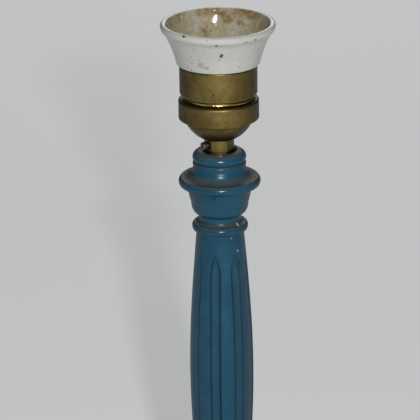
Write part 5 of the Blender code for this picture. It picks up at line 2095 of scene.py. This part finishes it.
    def build_terminal(self, node: str, outwards: Vector) -> None:
        """Terminal block with a way for the wire and a hole for its screw.

        Args:
            node: The CAD node.
            outwards: Direction of its screw.
        """
        low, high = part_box(node)
        screw_low, screw_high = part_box(f"{node}_screw")
        middle = (low + high) / 2
        half = ((high.x - low.x) / 2, (high.y - low.y) / 2)
        grid = bar(half, (low.z, high.z), self.block_edge)
        grid[..., :2] += np.array([middle.x, middle.y])
        block = Skin(f"{node}_block", grid, closed_rows=False).make()
        below = Vector((middle.x, middle.y, 0.0))
        level = Vector((middle.x, middle.y, (screw_low.z + screw_high.z) / 2))
        wire = drill(self.wire_way_radius, (low.z - self.gap, high.z + self.gap), below)
        carve(block, [wire, self.screw_hole((0.0, 2 * half[0]), level, outwards)])
        self.bench.settle(block, INSIDE_BRASS, Body.HOLDER, node)

    def build(self) -> None:
        """Make everything inside the holder and its locking screw."""
        self.build_lock_screw()
        self.build_core()
        self.build_shell()
        self.build_contact()
        self.small_screw("shell_screw_front", UP)
        self.small_screw("shell_screw_back", UP)
        self.small_screw("contact_screw", UP, self.contact_screw_share)
        for node, side in (("live_terminal", -1), ("neutral_terminal", 1)):
            outwards = Vector((side, 0, 0))
            self.build_terminal(node, outwards)
            self.small_screw(f"{node}_screw", outwards)


@dataclass(frozen=True)
class Lamp:
    """A square area light: its place, its side in metres and its power in watts."""

    name: str
    place: Place
    size: float
    power: float

    def build(self, aim: Vector) -> None:
        """Add the light, looking at a point.

        Args:
            aim: That point.
        """
        data = bpy.data.lights.new(self.name, "AREA")
        data.size = self.size
        data.energy = self.power
        light = add_object(self.name, data)
        light.location = self.place
        light.rotation_euler = (aim - Vector(self.place)).to_track_quat("-Z", "Y").to_euler()


@dataclass
class Studio:
    """Floor, lights and the camera at the photograph's viewing angle."""

    focal_pixels: float = 3004.0
    frame_pixels: float = 420.0
    distance: float = 1.5
    sight_elevation: float = 17.6
    sight_row: float = 93.0
    axis_column: float = 220.1
    roll: float = -0.75
    sensor: float = 36.0
    floor_reach: float = 6.0
    floor_glow: float = 0.42
    sky_strength: float = 0.12
    aim_share: float = 0.8
    lamps: tuple[Lamp, ...] = (
        Lamp("key", (0.13, -1.38, 0.78), 0.055, 16.5),
        Lamp("fill", (-1.1, -0.9, 0.9), 1.0, 0.6),
        Lamp("back", (0.1, 1.5, 1.0), 0.9, 4.5),
    )

    def build_camera(self, aim_height: float) -> None:
        """Pinhole camera whose line of sight to the sleeve's edge falls at the elevation given.

        Args:
            aim_height: Height of the sleeve's lower edge.
        """
        data = bpy.data.cameras.new("camera")
        camera = add_object("camera", data)
        data.sensor_width = self.sensor
        data.lens = self.focal_pixels / self.frame_pixels * self.sensor
        sight = math.radians(self.sight_elevation)
        middle = self.frame_pixels / 2
        pitch = sight + math.atan((middle - self.sight_row) / self.focal_pixels)
        camera.location = (
            (middle - self.axis_column) / self.focal_pixels * self.distance,
            -self.distance * math.cos(sight),
            aim_height + self.distance * math.sin(sight),
        )
        level = Matrix.Rotation(math.pi / 2 - pitch, 4, "X")
        rolled = Matrix.Rotation(math.radians(self.roll), 4, "Z")
        camera.rotation_euler = (level @ rolled).to_euler()
        bpy.context.scene.camera = camera

    def build_floor(self) -> None:
        """Pale floor with the object's shadow, made paler only where a camera ray sees it.

        Mirrored and transmitted rays see the same pale floor, so that metal shows it too.
        """
        mesh = bpy.data.meshes.new("floor")
        reach = self.floor_reach
        corners = [(-reach, -reach, 0), (reach, -reach, 0), (reach, reach, 0), (-reach, reach, 0)]
        mesh.from_pydata(corners, [], [(0, 1, 2, 3)])
        floor = add_object("floor", mesh)
        material = bpy.data.materials.new("pale_floor")
        material.use_nodes = True
        tree = Tree(material.node_tree)
        shader = tree.add("ShaderNodeBsdfPrincipled")
        tree.add("ShaderNodeOutputMaterial", shader.outputs[0])
        rays = tree.add("ShaderNodeLightPath").outputs
        mirrored = tree.plus(rays["Is Glossy Ray"], rays["Is Transmission Ray"])
        seen = tree.math("ADD", rays["Is Camera Ray"], mirrored, clamp=True)
        settings = {
            "Base Color": colour(178, 179, 178),
            "Roughness": 0.9,
            "Specular IOR Level": 0.1,
            "Emission Color": colour(240, 241, 242),
            "Emission Strength": tree.times(seen, self.floor_glow),
        }
        for name, value in settings.items():
            tree.feed(shader.inputs[name], value)
        mesh.materials.append(material)

    def build(self, aim_height: float) -> None:
        """Set up the whole studio.

        Args:
            aim_height: Height of the sleeve's lower edge.
        """
        self.build_camera(aim_height)
        self.build_floor()
        for lamp in self.lamps:
            lamp.build(UP * (aim_height * self.aim_share))
        world = bpy.data.worlds.new("studio")
        bpy.context.scene.world = world
        world.use_nodes = True
        sky = world.node_tree.nodes["Background"]
        sky.inputs["Color"].default_value = colour(200, 203, 206)
        sky.inputs["Strength"].default_value = self.sky_strength
        bpy.context.scene.view_settings.view_transform = "Standard"


def main() -> None:
    """Build every piece in order, then the studio."""
    logging.basicConfig(level=logging.INFO, format="%(name)s: %(message)s")
    bench = Bench()
    Foot(bench).build()
    LowerTurning(bench).build()
    FlutedShaft(bench).build()
    Capital(bench).build()
    holder = Holder(bench)
    holder.build_cap()
    holder.build_sleeve()
    holder.build_neck()
    Collar(bench, holder.edge_height).build()
    Fittings(bench, holder).build()
    bench.dress_hidden_nodes()
    Studio().build(holder.edge_height)


if __name__ == "__main__":
    main()
